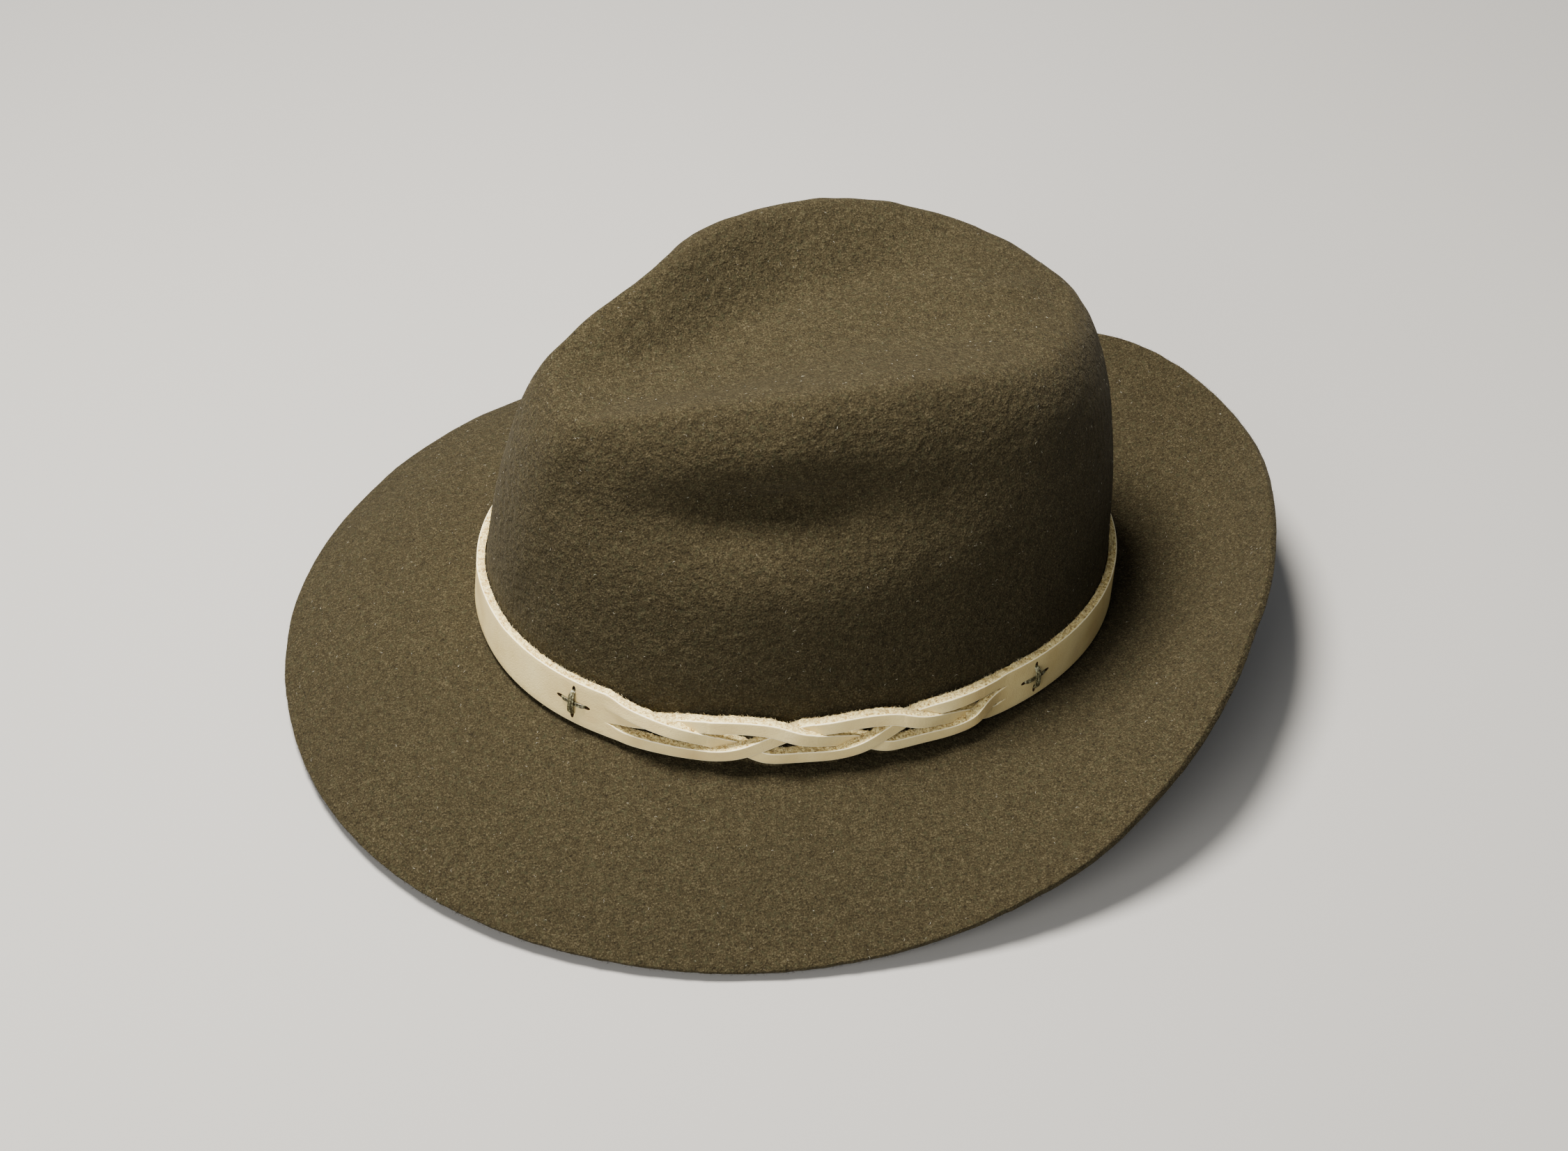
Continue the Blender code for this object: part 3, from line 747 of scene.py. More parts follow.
# %% Band coordinates
band_angle = np.linspace(-90, 450, 8641)
_x, _y, _, _ = oval(band_angle, FELT_THICKNESS + CLEARANCE + LEATHER_THICKNESS / 2)
band_arc = np.concatenate([[0], np.cumsum(np.hypot(np.diff(_x), np.diff(_y)))])
band_arc -= np.interp(90, band_angle, band_arc)
BAND_MIDDLE = BAND_LIFT + BAND_HEIGHT / 2
BRAID_START = BRAID_AHEAD + BRAID_LENGTH / 2
LOOP = np.interp(450, band_angle, band_arc) - np.interp(90, band_angle, band_arc)


def felt_set_back():
    """How far the felt has drawn in at the height of the band's top, round the hat."""
    _, _, nx, ny = oval(band_angle, FELT_THICKNESS / 2)
    rings = [wall_point(band_angle, share) for share in np.linspace(0, 0.5, 41)]
    x, y, z = (np.array([ring[k] for ring in rings]) for k in range(3))
    inward = (x[0] - x) * nx + (y[0] - y) * ny
    top = np.argmax(z > BAND_LIFT + BAND_HEIGHT, axis=0)
    return inward[top, np.arange(len(band_angle))]


SNUG = 0.85
band_set_back = felt_set_back()


def on_band(along, height, out):
    """Point out from the inner face of the band, and the outward direction there."""
    along, height, out = np.broadcast_arrays(*(np.asarray(v, float) for v in (along, height, out)))
    draw_in = SNUG * np.interp(along, band_arc, band_set_back) * (height - BAND_LIFT) / BAND_HEIGHT
    x, y, nx, ny = oval(np.interp(along, band_arc, band_angle),
                        FELT_THICKNESS + CLEARANCE + out - draw_in)
    return np.stack([x, y, height], -1), np.stack([nx, ny, np.zeros_like(nx)], -1)


print("the felt draws in by up to, mm:", round(float(band_set_back.max()) * 1000, 2))
print("length of the strap round the hat, mm:", round(float(LOOP) * 1000))

# %% [markdown]
# ## A strip of leather
# Strap and strands share one section: a flat grain face, soft corners, rough cut sides. The corners
# are drawn once as a list of places across the section, and swept along any path.

# %% Leather section
CORNER = 0.00032
FACE_STEPS, CORNER_STEPS, SIDE_STEPS, BACK_STEPS = 9, 3, 7, 4
SIDE_SPAN, BACK_SPAN = (0.92, 0.04), (0.9, -0.9)
GRAIN, CUT, CORNER_HIGHLIGHT, HOLE_SHADE = 0, 1, 2, 3
TOP_SIDE = FACE_STEPS + CORNER_STEPS + 1 + np.arange(SIDE_STEPS)
LOW_SIDE = TOP_SIDE[-1] + 1 + BACK_STEPS + np.arange(SIDE_STEPS)


def leather_section(width, thick, top, bottom):
    """Places across a strip as out and up: grain face, upper side, back, lower side."""
    half = width / 2
    turns = np.linspace(0, np.pi / 2, CORNER_STEPS + 2)[1:]
    face = [(thick, u * (half - (top if u > 0 else bottom))) for u in np.linspace(-1, 1, FACE_STEPS)]
    upper = [(thick - top + top * np.cos(t), half - top + top * np.sin(t)) for t in turns]
    lower = [(thick - bottom + bottom * np.cos(t), -half + bottom - bottom * np.sin(t))
             for t in turns[::-1]]
    depth = np.linspace(*SIDE_SPAN, SIDE_STEPS)
    top_side = [(d * (thick - top), half) for d in depth]
    low_side = [(d * (thick - bottom), -half) for d in depth[::-1]]
    back = [(0.0, u * half) for u in np.linspace(*BACK_SPAN, BACK_STEPS)]
    return np.array(face + upper + top_side + back + low_side + lower)


print("places across a strip:", len(leather_section(BAND_HEIGHT, LEATHER_THICKNESS, CORNER, CORNER)))

# %% [markdown]
# ## Sweeping the section
# A knife cut is never clean, and least of all at the flesh side. Each point of the cut sides is moved
# a little up or down, more towards the back, and the grain face is left smooth.

# %% Leather strip
FRAY, FRAY_BLEND, CUT_WAVE, SHARP_CORNER = 0.00005, 0.7, Swell(0.00007, 0.0032, 1), 38


def leather_strip(name, along, centre, depth, width, thick, corners, seed, lean=None):
    """Piece and rows of a swept strip. Arrays give its height, depth and size along it."""
    rng = np.random.default_rng(seed)
    steps = len(along)
    slope = np.arctan(np.gradient(centre, along))
    lean = np.zeros(steps) if lean is None else lean
    rows, sides = [], []
    for k in range(steps):
        spots = leather_section(width[k], thick[k], corners[0][k], corners[1][k])
        out = spots[:, 0] + depth[k] + spots[:, 1] * lean[k]
        point, _ = on_band(along[k] - spots[:, 1] * np.sin(slope[k]),
                           centre[k] + spots[:, 1] * np.cos(slope[k]), out)
        rows.append(point)
        sides.append(1 - spots[:, 0] / thick[k])
    rows, deep = np.array(rows), np.array(sides)
    columns = rows.shape[1]
    noise = rng.normal(size=rows.shape[:2])
    noise = noise + FRAY_BLEND * np.roll(noise, 1, 0) + FRAY_BLEND * np.roll(noise, -1, 0)
    wave = ripple(rows, CUT_WAVE.length, seed + CUT_WAVE.seed)
    rough = (FRAY + FRAY * deep) * noise + CUT_WAVE.height * deep * wave
    for spots, sign in ((TOP_SIDE, 1), (LOW_SIDE, -1)):
        rows[1:-1, spots, 2] += sign * rough[1:-1, spots]
    # The corner faces take the painted highlight finish.
    around_strip = np.full(columns, CORNER_HIGHLIGHT)
    around_strip[:FACE_STEPS] = GRAIN
    around_strip[TOP_SIDE[0] - 1:LOW_SIDE[-1] + 1] = CUT
    kinds = list(np.tile(around_strip, steps - 1)) + [CUT, CUT]
    return make_piece(name, placed(rows.reshape(-1, 3)), capped_faces(steps, columns),
                      LEATHERS, kinds, sharp=SHARP_CORNER), rows


print("cut sides are frayed by about, mm:", FRAY * 1000, "to", 2 * FRAY * 1000)

# %% [markdown]
# ## The strap
# The strap is the part of the band outside the braid: one bar that goes round the hat and stops
# where the slits begin. It is the plain section swept at one height.

# %% Strap round the hat
STRAP_STEPS = 900
strap_along = np.linspace(BRAID_START, BRAID_START + LOOP - BRAID_LENGTH, STRAP_STEPS)
even = np.ones_like(strap_along)
strap, strap_rows = leather_strip(
    "leather_strap", strap_along, even * BAND_MIDDLE, even * 0.0, even * BAND_HEIGHT,
    even * LEATHER_THICKNESS, (even * CORNER, even * CORNER), 21)

# %% [markdown]
# ## Awl holes
# The cross stitches go through the strap in holes made with an awl. They are narrow and lie the way the
# thread runs. A cone squeezed flat is taken away by a Boolean, and its own dark finish, painted shade,
# stays behind on the walls of the hole.

# %% Awl
HOLE_LONG, HOLE_NARROW, HOLE_EASE, HOLE_TAPER = 1.55, 0.66, 0.6, (0.8, 1.1)
HOLE_SIDES = 24


def stitch_holes(side, beyond):
    """Level pair, then upright pair, as distance along and height."""
    at = BRAID_AHEAD + side * (BRAID_LENGTH / 2 + STITCH_DISTANCE)
    half = STITCH_LENGTH / 2 + beyond
    return [(at - half, BAND_MIDDLE), (at + half, BAND_MIDDLE),
            (at, BAND_MIDDLE - half), (at, BAND_MIDDLE + half)]


def punch(piece, along, height, level):
    """Awl hole, longer the way the thread runs."""
    point, normal = on_band(along, height, LEATHER_THICKNESS / 2)
    level_way = on_band(along + 0.001, height, 0.0)[0] - on_band(along - 0.001, height, 0.0)[0]
    way = Vector(leaned(level_way if level else (0, 0, 1))).normalized()
    out = Vector(leaned(normal)).normalized()
    turn = Matrix((way, out.cross(way).normalized(), out)).transposed().to_4x4()
    shape = Matrix.Diagonal((HOLE_LONG, HOLE_NARROW, 1.0, 1.0))
    radius = THREAD_DIAMETER / 2 + CLEARANCE * HOLE_EASE
    bm = bmesh.new()
    bmesh.ops.create_cone(bm, cap_ends=True, segments=HOLE_SIDES, radius1=radius * HOLE_TAPER[0],
                          radius2=radius * HOLE_TAPER[1], depth=LEATHER_THICKNESS * 2,
                          matrix=Matrix.Translation(Vector(placed(point))) @ turn @ shape)
    mesh = bpy.data.meshes.new("awl")
    bm.to_mesh(mesh)
    bm.free()
    for leather in LEATHERS:
        mesh.materials.append(leather)
    # The walls of the hole get the painted shade finish.
    mesh.polygons.foreach_set("material_index", [HOLE_SHADE] * len(mesh.polygons))
    awl = add_object("awl", mesh)
    hole = piece.modifiers.new("hole", "BOOLEAN")
    hole.operation, hole.solver, hole.object = "DIFFERENCE", "EXACT", awl
    return awl


print("holes of one stitch, mm:", (np.array(stitch_holes(1, 0.0)) * 1000).round(1).tolist())

# %% Punching the strap
TORN = 0.0001           # how far a hole is torn out beyond the stitch
awls = [punch(strap, s, z, k < 2) for side in (1, -1)
        for k, (s, z) in enumerate(stitch_holes(side, TORN))]
bpy.context.view_layer.update()
punched = bpy.data.meshes.new_from_object(strap.evaluated_get(bpy.context.evaluated_depsgraph_get()))
strap.modifiers.clear()
strap.data = punched
punched.set_sharp_from_angle(angle=radians(SHARP_CORNER))
for awl in awls:
    bpy.data.objects.remove(awl)
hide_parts("hat_band")
print("strap with holes:", len(strap.data.polygons), "faces")

# %% [markdown]
# ## The braid
# Two slits make three strands, and the closed end lets them be braided without cutting it. At each
# crossing the outer strand goes over the middle one. A strand is planned as lanes it moves between
# and as how far it stands off the felt, then swept like any strip of leather.

# %% Strand paths
LANE = BAND_HEIGHT / 3
OVER, BESIDE, UNDER = 1.0, 0.45, 0.0                # how far a strand is lifted at a crossing
OUTER_LIFT, INNER_LIFT, OUTER_PULL = 0.6, 0.5, 0.95     # the same between two crossings


def strand_knots(name):
    """Distance along, lane and lift of one strand at its crossings and between them."""
    lanes = {"A": 1, "B": 0, "C": -1}
    count = len(CROSSINGS)
    pitch = BRAID_LENGTH / (count + 1)
    knots = [(BRAID_START, lanes[name], UNDER)]
    for k, (over, under) in enumerate(CROSSINGS):
        here = BRAID_START - (k + 1) * pitch - CROSSINGS_BACK
        before = lanes[name]
        lanes[over], lanes[under] = lanes[under], lanes[over]
        lift = OVER if name == over else UNDER if name == under else BESIDE
        knots.append((here, (before + lanes[name]) / 2, lift))
        if k < count - 1:
            knots.append((here - 0.5 * pitch, lanes[name] * OUTER_PULL,
                          OUTER_LIFT if abs(lanes[name]) == 1 else INNER_LIFT))
    end = BRAID_START - BRAID_LENGTH
    knots += [(end + 0.25 * pitch, lanes[name], UNDER), (end, lanes[name], UNDER)]
    return np.array(knots)[::-1], lanes[name]


print("strand A starts in lane 1 and ends in lane", strand_knots("A")[1])

# %% [markdown]
# ## Sweeping the strands
# A strand grows out of the strap: it starts as a third of it, with square inner corners. Over the first
# few millimetres it narrows, thickens, tips and rounds off, which real lace does when it is pulled
# tight. Each change eases in over its own length, so nothing kinks.

# %% Easing and padding
Change = namedtuple("Change", "amount over")
SPREAD, NARROWED, RAISED = Change(1.07, 0.012), Change(0.0011, 0.006), Change(0.0009, 0.030)
THICKENED, TIPPED = Change(0.20, 0.008), Change(0.20, 0.004)
STRAND_STEPS, BLUR_STEPS, STANDS_OFF, TIP_CLEARS = 340, 31, 1.02, 0.35
TIGHT_CORNER, ROOT = 0.00003, 0.0015
ROOT_DEEPER, ROOT_NARROWER, ROOT_THINNER = 0.0002, -0.0006, -0.0004


def eased(distance, length):
    share = np.clip(distance / length, 0, 1)
    return share * share * (3 - 2 * share)


def blurred(values):
    window = np.hanning(BLUR_STEPS)
    return np.convolve(np.pad(values, BLUR_STEPS // 2, mode="edge"), window / window.sum(), "valid")


def rooted(values, change=0.0):
    """Values along a strand with one more at each end, inside the strap."""
    return np.concatenate([[values[0] + change], values, [values[-1] + change]])


print("a strand is tipped by half after, mm:", TIPPED.over * 500)

# %% Strands
def strand_piece(name, seed):
    """A strand whose first and last sections are thirds of the strap, so that it grows out of it."""
    knots, last_lane = strand_knots(name)
    along = np.linspace(knots[0, 0], knots[-1, 0], STRAND_STEPS)
    lane, lift = (blurred(smooth(knots[:, 0], knots[:, k], along)) for k in (1, 2))
    from_end = np.minimum(along - along[0], along[-1] - along)
    open_up = eased(from_end, TIPPED.over)
    thick = LEATHER_THICKNESS * (1 + THICKENED.amount * eased(from_end, THICKENED.over))
    depth = lift * thick * STANDS_OFF
    width = LANE - NARROWED.amount * eased(from_end, NARROWED.over)
    centre = (BAND_MIDDLE + RAISED.amount * eased(from_end, RAISED.over)
              + lane * LANE * (1 + (SPREAD.amount - 1) * eased(from_end, SPREAD.over)))
    lean = -TIPPED.amount * lane * np.clip(lift, 0, 1) * open_up
    depth = depth + np.abs(lean) * width * TIP_CLEARS
    inner = TIGHT_CORNER + (CORNER - TIGHT_CORNER) * open_up
    outer = np.full_like(along, CORNER)
    first = np.where(along > along.mean(), knots[-1, 1], last_lane)
    corners = [np.where(first == 1, outer, inner), np.where(first == -1, outer, inner)]
    along = np.concatenate([[along[0] - ROOT], along, [along[-1] + ROOT]])
    piece, rows = leather_strip(
        "leather_strand_" + name.lower(), along, rooted(centre), rooted(depth, ROOT_DEEPER),
        rooted(width, ROOT_NARROWER), rooted(thick, ROOT_THINNER),
        [rooted(corner) for corner in corners], seed, rooted(lean))
    return rows


strand_rows = {name: strand_piece(name, 31 + 7 * k) for k, name in enumerate("ABC")}

# %% [markdown]
# ## Loose fibres
# What makes felt and cut leather look soft is what stands off them. A fibre is a three-sided spike
# with one bend. Thousands of them in one mesh cost little, and each is closed, so the mesh stays sound.

# %% Fibre maker
BEND_AT, TIP_REACH, TIP_BEND, BEND_GIRTH = 0.5, 0.85, 0.45, 0.8


def fibres(name, roots, ways, bends, lengths, radii, material, slot):
    """Closed bent spikes from roots along ways."""
    count = len(roots)
    side = unit(np.cross(ways, bends), TINY)
    lift = np.cross(side, ways)
    middle = roots + ways * lengths[:, None] * BEND_AT
    tip = roots + ways * lengths[:, None] * TIP_REACH + bends * lengths[:, None] * TIP_BEND
    rings = []
    for centre, scale in ((roots, 1.0), (middle, BEND_GIRTH)):
        for k in range(3):
            turn = 2 * np.pi * k / 3
            round_it = side * np.cos(turn) + lift * np.sin(turn)
            rings.append(centre + round_it * (radii * scale)[:, None])
    points = np.stack(rings + [tip], 1).reshape(-1, 3)
    pattern = [(2, 1, 0), (0, 1, 4, 3), (1, 2, 5, 4), (2, 0, 3, 5), (3, 4, 6), (4, 5, 6), (5, 3, 6)]
    faces = [tuple(7 * n + v for v in face) for n in range(count) for face in pattern]
    make_piece(name, placed(points), faces, [material], flip=False)


# %% [markdown]
# ## Colours of the fibres
# A single hair shows one dye, but its colour wanders along it. One soft noise between a dark and a
# light tone is enough at this size. Three such pairs serve the felt, its pale hairs and the leather.

# %% Fibre colours
def fibre_material(name, dark, light):
    g = Graph(name)
    p = g.place()
    colour = g.blend(g.window(g.noise(p, 0.0012, 2.0), 0.35, 0.65), dark, light)
    return g.finish(Base_Color=colour, Roughness=0.9, Specular_IOR_Level=0.1)


felt_nap = fibre_material("felt_nap", (0.022, 0.017, 0.0082), (0.056, 0.047, 0.027))
pale_hair = fibre_material("felt_pale_hair", (0.240, 0.225, 0.170), (0.500, 0.480, 0.390))
leather_fluff = fibre_material("leather_fluff", (0.620, 0.470, 0.220), (0.920, 0.840, 0.560))

# %% [markdown]
# ## Nap on the felt
# Nap lies nearly flat and points every way. Roots are drawn at random on the grid in proportion to
# area, outside the band. A few pale hairs and bits of lint lie among them.

# %% Where nap may grow
BARE_ABOVE_BAND, BARE_RINGS = 0.0025, 3


def cell_areas(grid):
    across = np.roll(grid, -1, 1)[:-1] - grid[:-1]
    up = grid[1:] - grid[:-1]
    return np.linalg.norm(np.cross(across, up), axis=-1)


nap_free = np.ones(sheet.shape[:2], bool)
nap_free[ring_kind == BREAK_KIND] = False
nap_free[(ring_kind == WALL_KIND)[:, None]
         & (wall_height < BAND_LIFT + BAND_HEIGHT + BARE_ABOVE_BAND)] = False
nap_free[BRIM_RINGS - BARE_RINGS:BRIM_RINGS] = False
print("share of the felt's grid that carries nap:", round(float(nap_free.mean()), 2))

# %% Nap on the felt
ROOTED, PRESSED = 0.0001, 0.25
OUTSIDE, INSIDE = 1, -1
Nap = namedtuple("Nap", "name count seed length radius tilt material side")
FINE_HAIR, PALE_HAIR, LINT = (0.000022, 0.000040), (0.000030, 0.000060), (0.00007, 0.00012)
NAPS = [
    Nap("felt_nap_short", 17500, 41, (0.0007, 0.0018), FINE_HAIR, (0.05, 0.55), felt_nap, OUTSIDE),
    Nap("felt_nap_pale", 2400, 42, (0.0006, 0.0020), PALE_HAIR, (0.02, 0.30), pale_hair, OUTSIDE),
    Nap("felt_lint", 260, 45, (0.0007, 0.0019), LINT, (0.0, 0.15), pale_hair, OUTSIDE),
    Nap("felt_nap_inside", 3500, 43, (0.0007, 0.0018), FINE_HAIR, (0.05, 0.50), felt_nap, INSIDE)]


def nap_piece(nap):
    rng = np.random.default_rng(nap.seed)
    area = cell_areas(sheet) * nap_free[:-1]
    pick = rng.choice(area.size, nap.count, p=(area / area.sum()).ravel())
    r, c = np.divmod(pick, COLUMNS)
    u, v = rng.uniform(size=(2, nap.count, 1))
    c2 = (c + 1) % COLUMNS
    spot = ((1 - u) * (1 - v) * sheet[r, c] + u * (1 - v) * sheet[r, c2]
            + (1 - u) * v * sheet[r + 1, c] + u * v * sheet[r + 1, c2])
    face = normals[r, c] * nap.side
    any_way = rng.normal(size=(nap.count, 3))
    flat = unit(any_way - face * (any_way * face).sum(1, keepdims=True))
    up = rng.uniform(*nap.tilt, size=(nap.count, 1))
    way = flat * np.cos(up) + face * np.sin(up)
    turn = np.cross(face, flat) * rng.choice([-1, 1], size=(nap.count, 1)) - face * PRESSED
    lengths = rng.uniform(*nap.length, size=nap.count)
    radii = rng.uniform(*nap.radius, size=nap.count)
    root = spot + face * (FELT_THICKNESS / 2 - ROOTED)
    fibres(nap.name, root, way, turn, lengths, radii, nap.material, "felt")


for nap in NAPS:
    nap_piece(nap)

# %% [markdown]
# ## Nap on the brim's cut edge
# Hairs that stand out from the cut edge blur the hat's outline, as they do on real felt. They start
# anywhere across the edge and lean along it as often as outwards.

# %% Nap on the brim's cut edge
EDGE_LENGTH, EDGE_ROOTED = (0.0005, 0.0016), 0.00015
EDGE_ACROSS, EDGE_ALONG, EDGE_TILT, EDGE_TWIST = 0.9, 0.9, 0.3, 0.4


def edge_nap(count, seed):
    rng = np.random.default_rng(seed)
    spot = rng.uniform(0, COLUMNS, count)
    i = spot.astype(int)
    j, share = (i + 1) % COLUMNS, (spot - i)[:, None]
    edge = sheet[0, i] * (1 - share) + sheet[0, j] * share
    outward, along = unit(sheet[0, i] - sheet[1, i]), unit(sheet[0, j] - sheet[0, i])
    face = normals[0, i]
    across = rng.uniform(-EDGE_ACROSS, EDGE_ACROSS, (count, 1))
    way = unit(outward + along * rng.normal(0, EDGE_ALONG, (count, 1))
               + face * (across * 0.5 + rng.normal(0, EDGE_TILT, (count, 1))))
    bend = along * rng.choice([-1, 1], (count, 1)) + face * rng.normal(0, EDGE_TWIST, (count, 1))
    root = edge + face * (FELT_THICKNESS / 2 * across) + outward * EDGE_ROOTED
    lengths = rng.uniform(*EDGE_LENGTH, count)
    fibres("felt_nap_edge", root, way, bend, lengths, rng.uniform(*FINE_HAIR, count), felt_nap, "felt")


edge_nap(4200, 44)

# %% [markdown]
# ## Fluff on the cut leather
# A knife leaves the loose core of the leather standing up along both cut sides of the strap and of
# every strand. It is short, pale and thickest on the upper side, where the light finds it.

# %% Fluff on the cut leather
UPPER_SHARE, LOWER_SHARE, TOWARDS_BACK = 0.65, 0.35, 0.6
FLUFF_ROOTED, FLUFF_ALONG, FLUFF_OUT, FLUFF_BEND = 0.00006, 0.9, (-0.1, 0.5), 0.2
FLUFF_SHORT, FLUFF_LONG, FLUFF_RARE, FLUFF_GIRTH = 0.00030, 0.00095, 2.2, (0.000025, 0.00005)


def fluff(name, rows, count, seed):
    """Short fibres from the cut sides of a swept strip, most from the rough edge at the back."""
    rng = np.random.default_rng(seed)
    roots, ways, bends = [], [], []
    for sign, columns, share in ((1, TOP_SIDE, UPPER_SHARE), (-1, LOW_SIDE[::-1], LOWER_SHARE)):
        number = int(count * share)
        k = rng.integers(4, len(rows) - 5, number)
        back = (SIDE_STEPS - 1) * rng.uniform(size=number) ** TOWARDS_BACK
        c = np.minimum(back, SIDE_STEPS - 2).astype(int)
        u, v = rng.uniform(size=(2, number, 1))
        a, b = rows[k, columns[c]], rows[k, columns[c + 1]]
        a2, b2 = rows[k + 1, columns[c]], rows[k + 1, columns[c + 1]]
        spot = (1 - u) * ((1 - v) * a + v * b) + u * ((1 - v) * a2 + v * b2)
        along = unit(rows[k + 2, columns[c]] - rows[k - 2, columns[c]], TINY)
        out = unit(rows[k, columns[0]] - rows[k, columns[-1]], TINY)
        up = np.cross(along, out)
        up *= np.sign(up[:, 2:3]) * sign
        ways.append(unit(up + along * rng.normal(0, FLUFF_ALONG, (number, 1))
                         + out * rng.normal(*FLUFF_OUT, (number, 1))))
        roots.append(spot - up * FLUFF_ROOTED)
        bends.append(along * rng.choice([-1, 1], (number, 1)) + up * FLUFF_BEND)
    roots, ways, bends = (np.concatenate(v) for v in (roots, ways, bends))
    number = len(roots)
    lengths = FLUFF_SHORT + FLUFF_LONG * rng.uniform(size=number) ** FLUFF_RARE
    fibres(name, roots, ways, bends, lengths, rng.uniform(*FLUFF_GIRTH, number),
           leather_fluff, "leather")


fluff("leather_fluff_strap", strap_rows, 15000, 51)
for k, name in enumerate("ABC"):
    fluff("leather_fluff_" + name.lower(), strand_rows[name], 5000, 52 + k)

# %% [markdown]
# ## Cross stitches
# Flat waxed thread holds each end of the braid: one arm lies on the leather, the other crosses over
# it, and both dive into awl holes. Several filaments side by side, slightly twisted, read as thread.

# %% Thread material
# The palest tone is a painted highlight on the waxed thread; the two darker ones are its olive browns.
THREAD_TONES_AND_HIGHLIGHT = [(0.30, (0.026, 0.020, 0.008)), (0.52, (0.075, 0.065, 0.028)),
                (0.70, (0.360, 0.360, 0.215))]
thread_olive = highlight_ramp_material("thread_olive_waxed_painted_highlight", (0.0004, 2.0, 0.6), THREAD_TONES_AND_HIGHLIGHT,
                               (0.2, 0.26), (0.0001, 0.6), 0.45)

# %% [markdown]
# ## A ply
# One ply of the thread is a thin round tube. Every ring needs two directions across the path, and
# they come from one direction that stays the same along the path, so the tube doesn't twist.

# %% Tube maker
PLY_SIDES, OFF_AXIS = 8, np.array([0.31, 0.17, 0.93])


def tube(path, radius):
    """Points and faces of a closed round tube along a path."""
    way = unit(np.gradient(path, axis=0))
    helper = unit(np.cross(way, way[len(way) // 2] + OFF_AXIS), TINY)
    other = np.cross(way, helper)
    turns = np.arange(PLY_SIDES) * 2 * np.pi / PLY_SIDES
    rings = path[:, None] + radius * (helper[:, None] * np.cos(turns)[None, :, None]
                                      + other[:, None] * np.sin(turns)[None, :, None])
    return rings.reshape(-1, 3), capped_faces(len(path), PLY_SIDES)


short_path = np.outer(np.arange(3), (0.001, 0, 0))
print("a tube with 3 rings has", len(tube(short_path, 0.0002)[1]), "faces")

# %% [markdown]
# ## Way of the thread
# An arm comes out of one hole, bows over the leather and goes into the next. Its height is a short
# list read smoothly, and its plies lie side by side, wide in the middle and gathered at the holes.

# %% Arms of a stitch
Arm = namedtuple("Arm", "lift plies spread radius taper")
LEVEL_ARM = Arm(0.00045, 3, 0.00056, 0.00024, 0.35)
UPRIGHT_ARM = Arm(0.00125, 6, 0.00082, 0.00027, 0.34)
ARM_STEPS, ARM_END, WANDER, BOW, TWIST = 64, 0.12, 0.10, 0.7, 0.5
TUCKED = -0.0004        # the thread enters this far inside the hole's end


def arm_path(ends, lift):
    """Way of one arm: out of a hole, over the leather, into the next."""
    deep = LEATHER_THICKNESS - 2 * CLEARANCE
    share = [0.0, 0.0, 0.01, 0.07, 0.20, 0.5, 0.80, 0.93, 0.99, 1.0, 1.0]
    out = [-deep, -0.4 * deep, 0.0, lift * 0.55, lift * 0.92, lift,
           lift * 0.92, lift * 0.55, 0.0, -0.4 * deep, -deep]
    t = np.linspace(0, 1, len(share))
    fine = np.linspace(0, 1, ARM_STEPS)
    share, out = smooth(t, share, fine), smooth(t, out, fine)
    (s0, z0), (s1, z1) = ends
    return on_band(s0 + (s1 - s0) * share, z0 + (z1 - z0) * share, LEATHER_THICKNESS + out)


def arm_plies(ends, arm, seed):
    """Plies of flat thread side by side, widest in the middle of the arm."""
    rng = np.random.default_rng(seed)
    path, normal = arm_path(ends, arm.lift)
    level = path[len(path) * 3 // 4] - path[len(path) // 4]
    across = unit(np.cross(normal, level))
    t = np.linspace(0, 1, len(path))
    swell = np.sin(np.pi * np.clip((t - ARM_END) / (1 - 2 * ARM_END), 0, 1)) ** 0.7
    swell = arm.taper + (1 - arm.taper) * swell
    for k in range(arm.plies):
        lane = 2 * k / (arm.plies - 1) - 1
        wander = WANDER * np.sin(2 * np.pi * t + rng.uniform(0, 6))
        bow = (1 - lane * lane) * arm.radius * BOW
        rise = bow + arm.radius * TWIST * np.sin(5 * t + rng.uniform(0, 6))
        line = (path + across * ((lane + wander) * arm.spread * swell)[:, None]
                + normal * (rise * swell)[:, None])
        yield tube(line, arm.radius)


print("plies in a stitch:", LEVEL_ARM.plies, "and", UPRIGHT_ARM.plies)

# %% Cross stitches
def stitch(name, side, node):
    holes = stitch_holes(side, TUCKED)
    points, faces, start = [], [], 0
    for ends, arm in ((holes[:2], LEVEL_ARM), (holes[2:], UPRIGHT_ARM)):
        for ply_points, ply_faces in arm_plies(ends, arm, 61 + side):
            points.append(ply_points)
            faces += [tuple(v + start for v in face) for face in ply_faces]
            start += len(ply_points)
    piece = make_piece(name, placed(np.concatenate(points)), faces, [thread_olive])
    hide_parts(node)


stitch("thread_cross_front", 1, "cross_stitch_front")
stitch("thread_cross_rear", -1, "cross_stitch_rear")

# %% [markdown]
# ## Floor
# A plain pale floor, one big plane, shows how the brim stands on it. It is stage and not part of the
# hat. Its tone wanders a little, so the shadow's soft edge doesn't look cut out.

# %% Floor
FLOOR_TONES = (0.35, 0.343, 0.33), (0.38, 0.373, 0.36)


def floor_material():
    g = Graph("floor_pale")
    tone = g.noise(g.place(), 0.25, 2.0)
    return g.finish(Base_Color=g.blend(tone, *FLOOR_TONES), Roughness=0.85, Specular_IOR_Level=0.2)


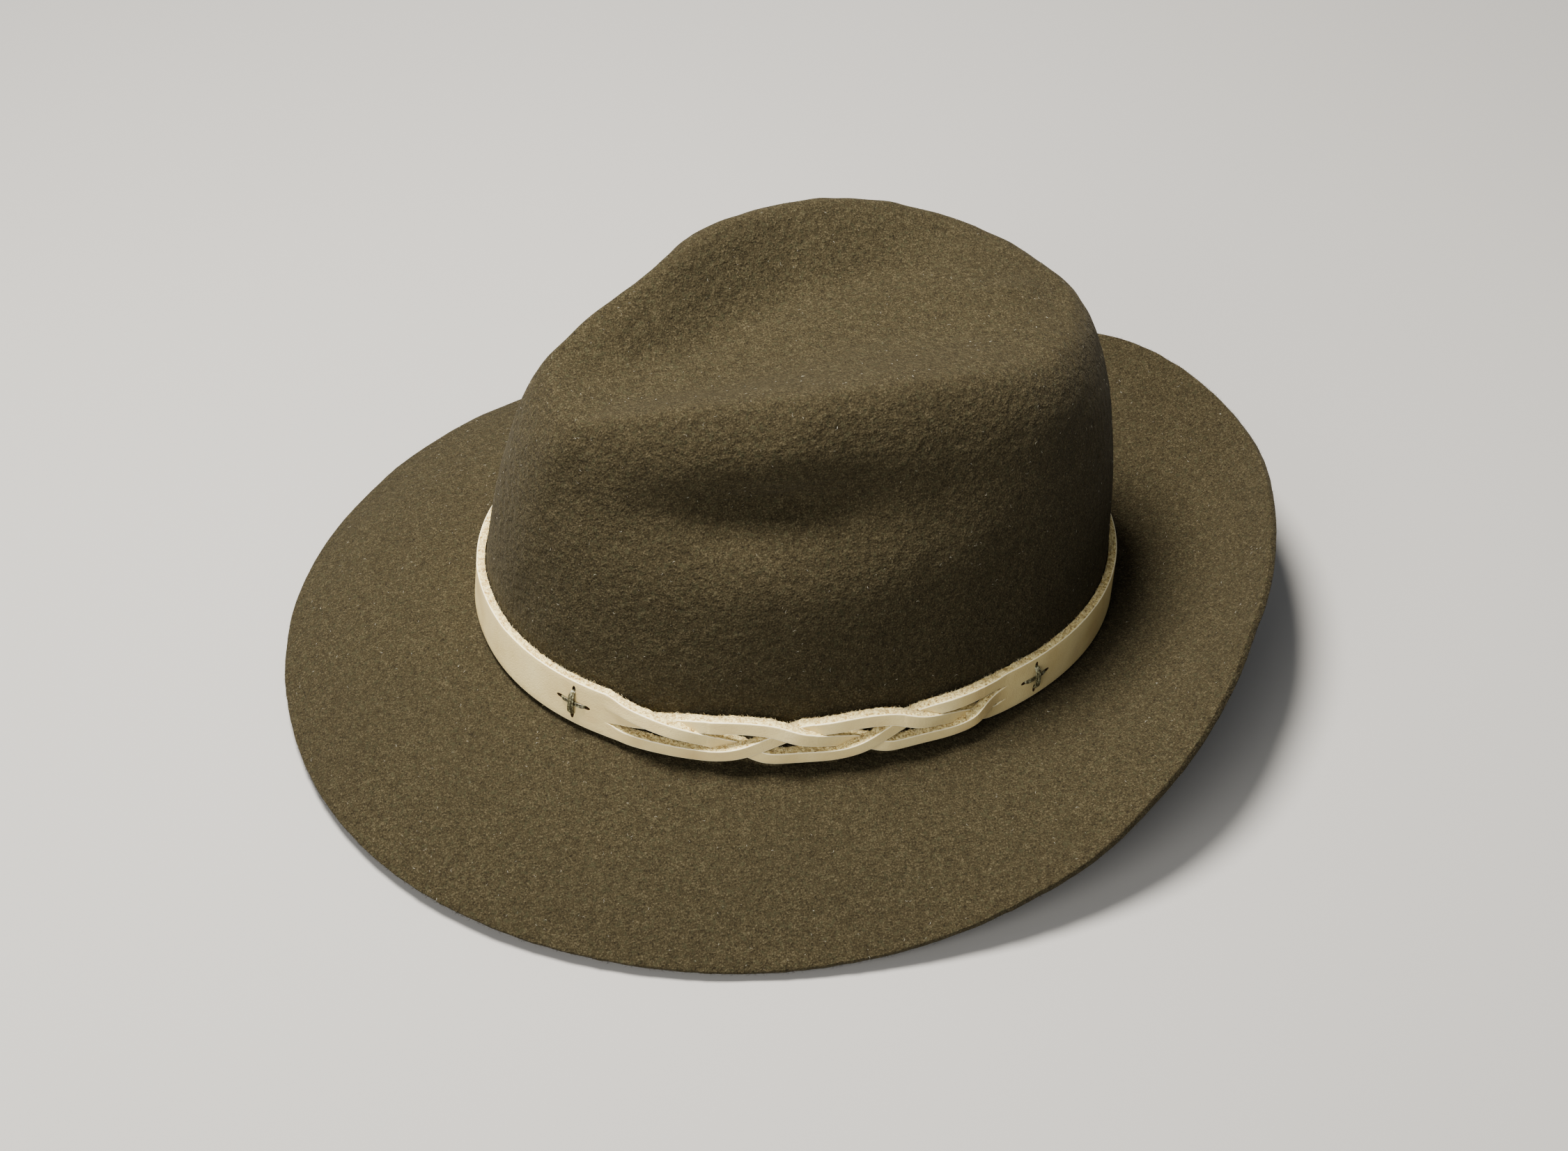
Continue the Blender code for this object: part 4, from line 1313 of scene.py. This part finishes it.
bpy.ops.mesh.primitive_plane_add(size=6.0, location=(0, 0, 0))
ground = bpy.context.object
ground.name = "studio_floor"
ground.data.materials.append(floor_material())

# %% [markdown]
# ## Light
# A soft lamp stands almost overhead, a little behind the crown and towards the hat's front, so that
# the near wall stays in half shade and the dents and the ridge read. A wide weak one from the
# camera's left and a dim room fill the shadows.

# %% Lights
Lamp = namedtuple("Lamp", "name place aim size power colour")
LAMPS = [Lamp("key_light", (-0.15, -0.17, 1.00), (0, 0, 0.03), 0.36, 37.0, (1.0, 0.955, 0.885)),
         Lamp("fill_light", (0.85, -1.0, 0.75), (0, 0, 0.05), 0.9, 17.0, (1.0, 0.975, 0.93))]
ROOM_COLOUR, ROOM_STRENGTH = (0.80, 0.82, 0.85, 1.0), 0.34


def hang(lamp):
    data = bpy.data.lights.new(lamp.name, "AREA")
    data.shape, data.size, data.energy, data.color = "DISK", lamp.size, lamp.power, lamp.colour
    light = add_object(lamp.name, data)
    light.location = lamp.place
    aim = Vector(lamp.aim) - Vector(lamp.place)
    light.rotation_euler = aim.to_track_quat("-Z", "Y").to_euler()
    print(lamp.name, "of", lamp.power, "W")


for lamp in LAMPS:
    hang(lamp)
world = bpy.data.worlds.new("soft_room")
world.use_nodes = True
room = world.node_tree.nodes["Background"].inputs
room["Color"].default_value, room["Strength"].default_value = ROOM_COLOUR, ROOM_STRENGTH
bpy.context.scene.world = world

# %% [markdown]
# ## Camera
# The camera stands where the picture was taken from: about four fifths of the way round from the
# front to the wearer's left, looking down by some 42 degrees through a longish lens, and tilted
# a little.

# %% Camera
CAMERA_TARGET = Vector((-0.0019, 0.0002, 0.0228))
CAMERA_AZIMUTH, CAMERA_ELEVATION, CAMERA_ROLL = radians(71.1), radians(41.55), radians(-1.25)
CAMERA_DISTANCE, CAMERA_LENS = 0.9576, 66.5
back = Vector((np.sin(CAMERA_AZIMUTH) * np.cos(CAMERA_ELEVATION),
               -np.cos(CAMERA_AZIMUTH) * np.cos(CAMERA_ELEVATION), np.sin(CAMERA_ELEVATION)))
camera_data = bpy.data.cameras.new("photo_view")
camera_data.lens, camera_data.sensor_width, camera_data.clip_end = CAMERA_LENS, 36.0, 20.0
camera = add_object("photo_view", camera_data)
right = Vector((0, 0, 1)).cross(back).normalized()
upward = back.cross(right)
turn = Matrix((right, upward, back)).transposed() @ Matrix.Rotation(CAMERA_ROLL, 3, "Z")
camera.matrix_world = Matrix.Translation(CAMERA_TARGET + back * CAMERA_DISTANCE) @ turn.to_4x4()
bpy.context.scene.camera = camera
print("camera stands at", [round(v, 3) for v in camera.matrix_world.translation])

# %% [markdown]

bpy.context.view_layer.update()
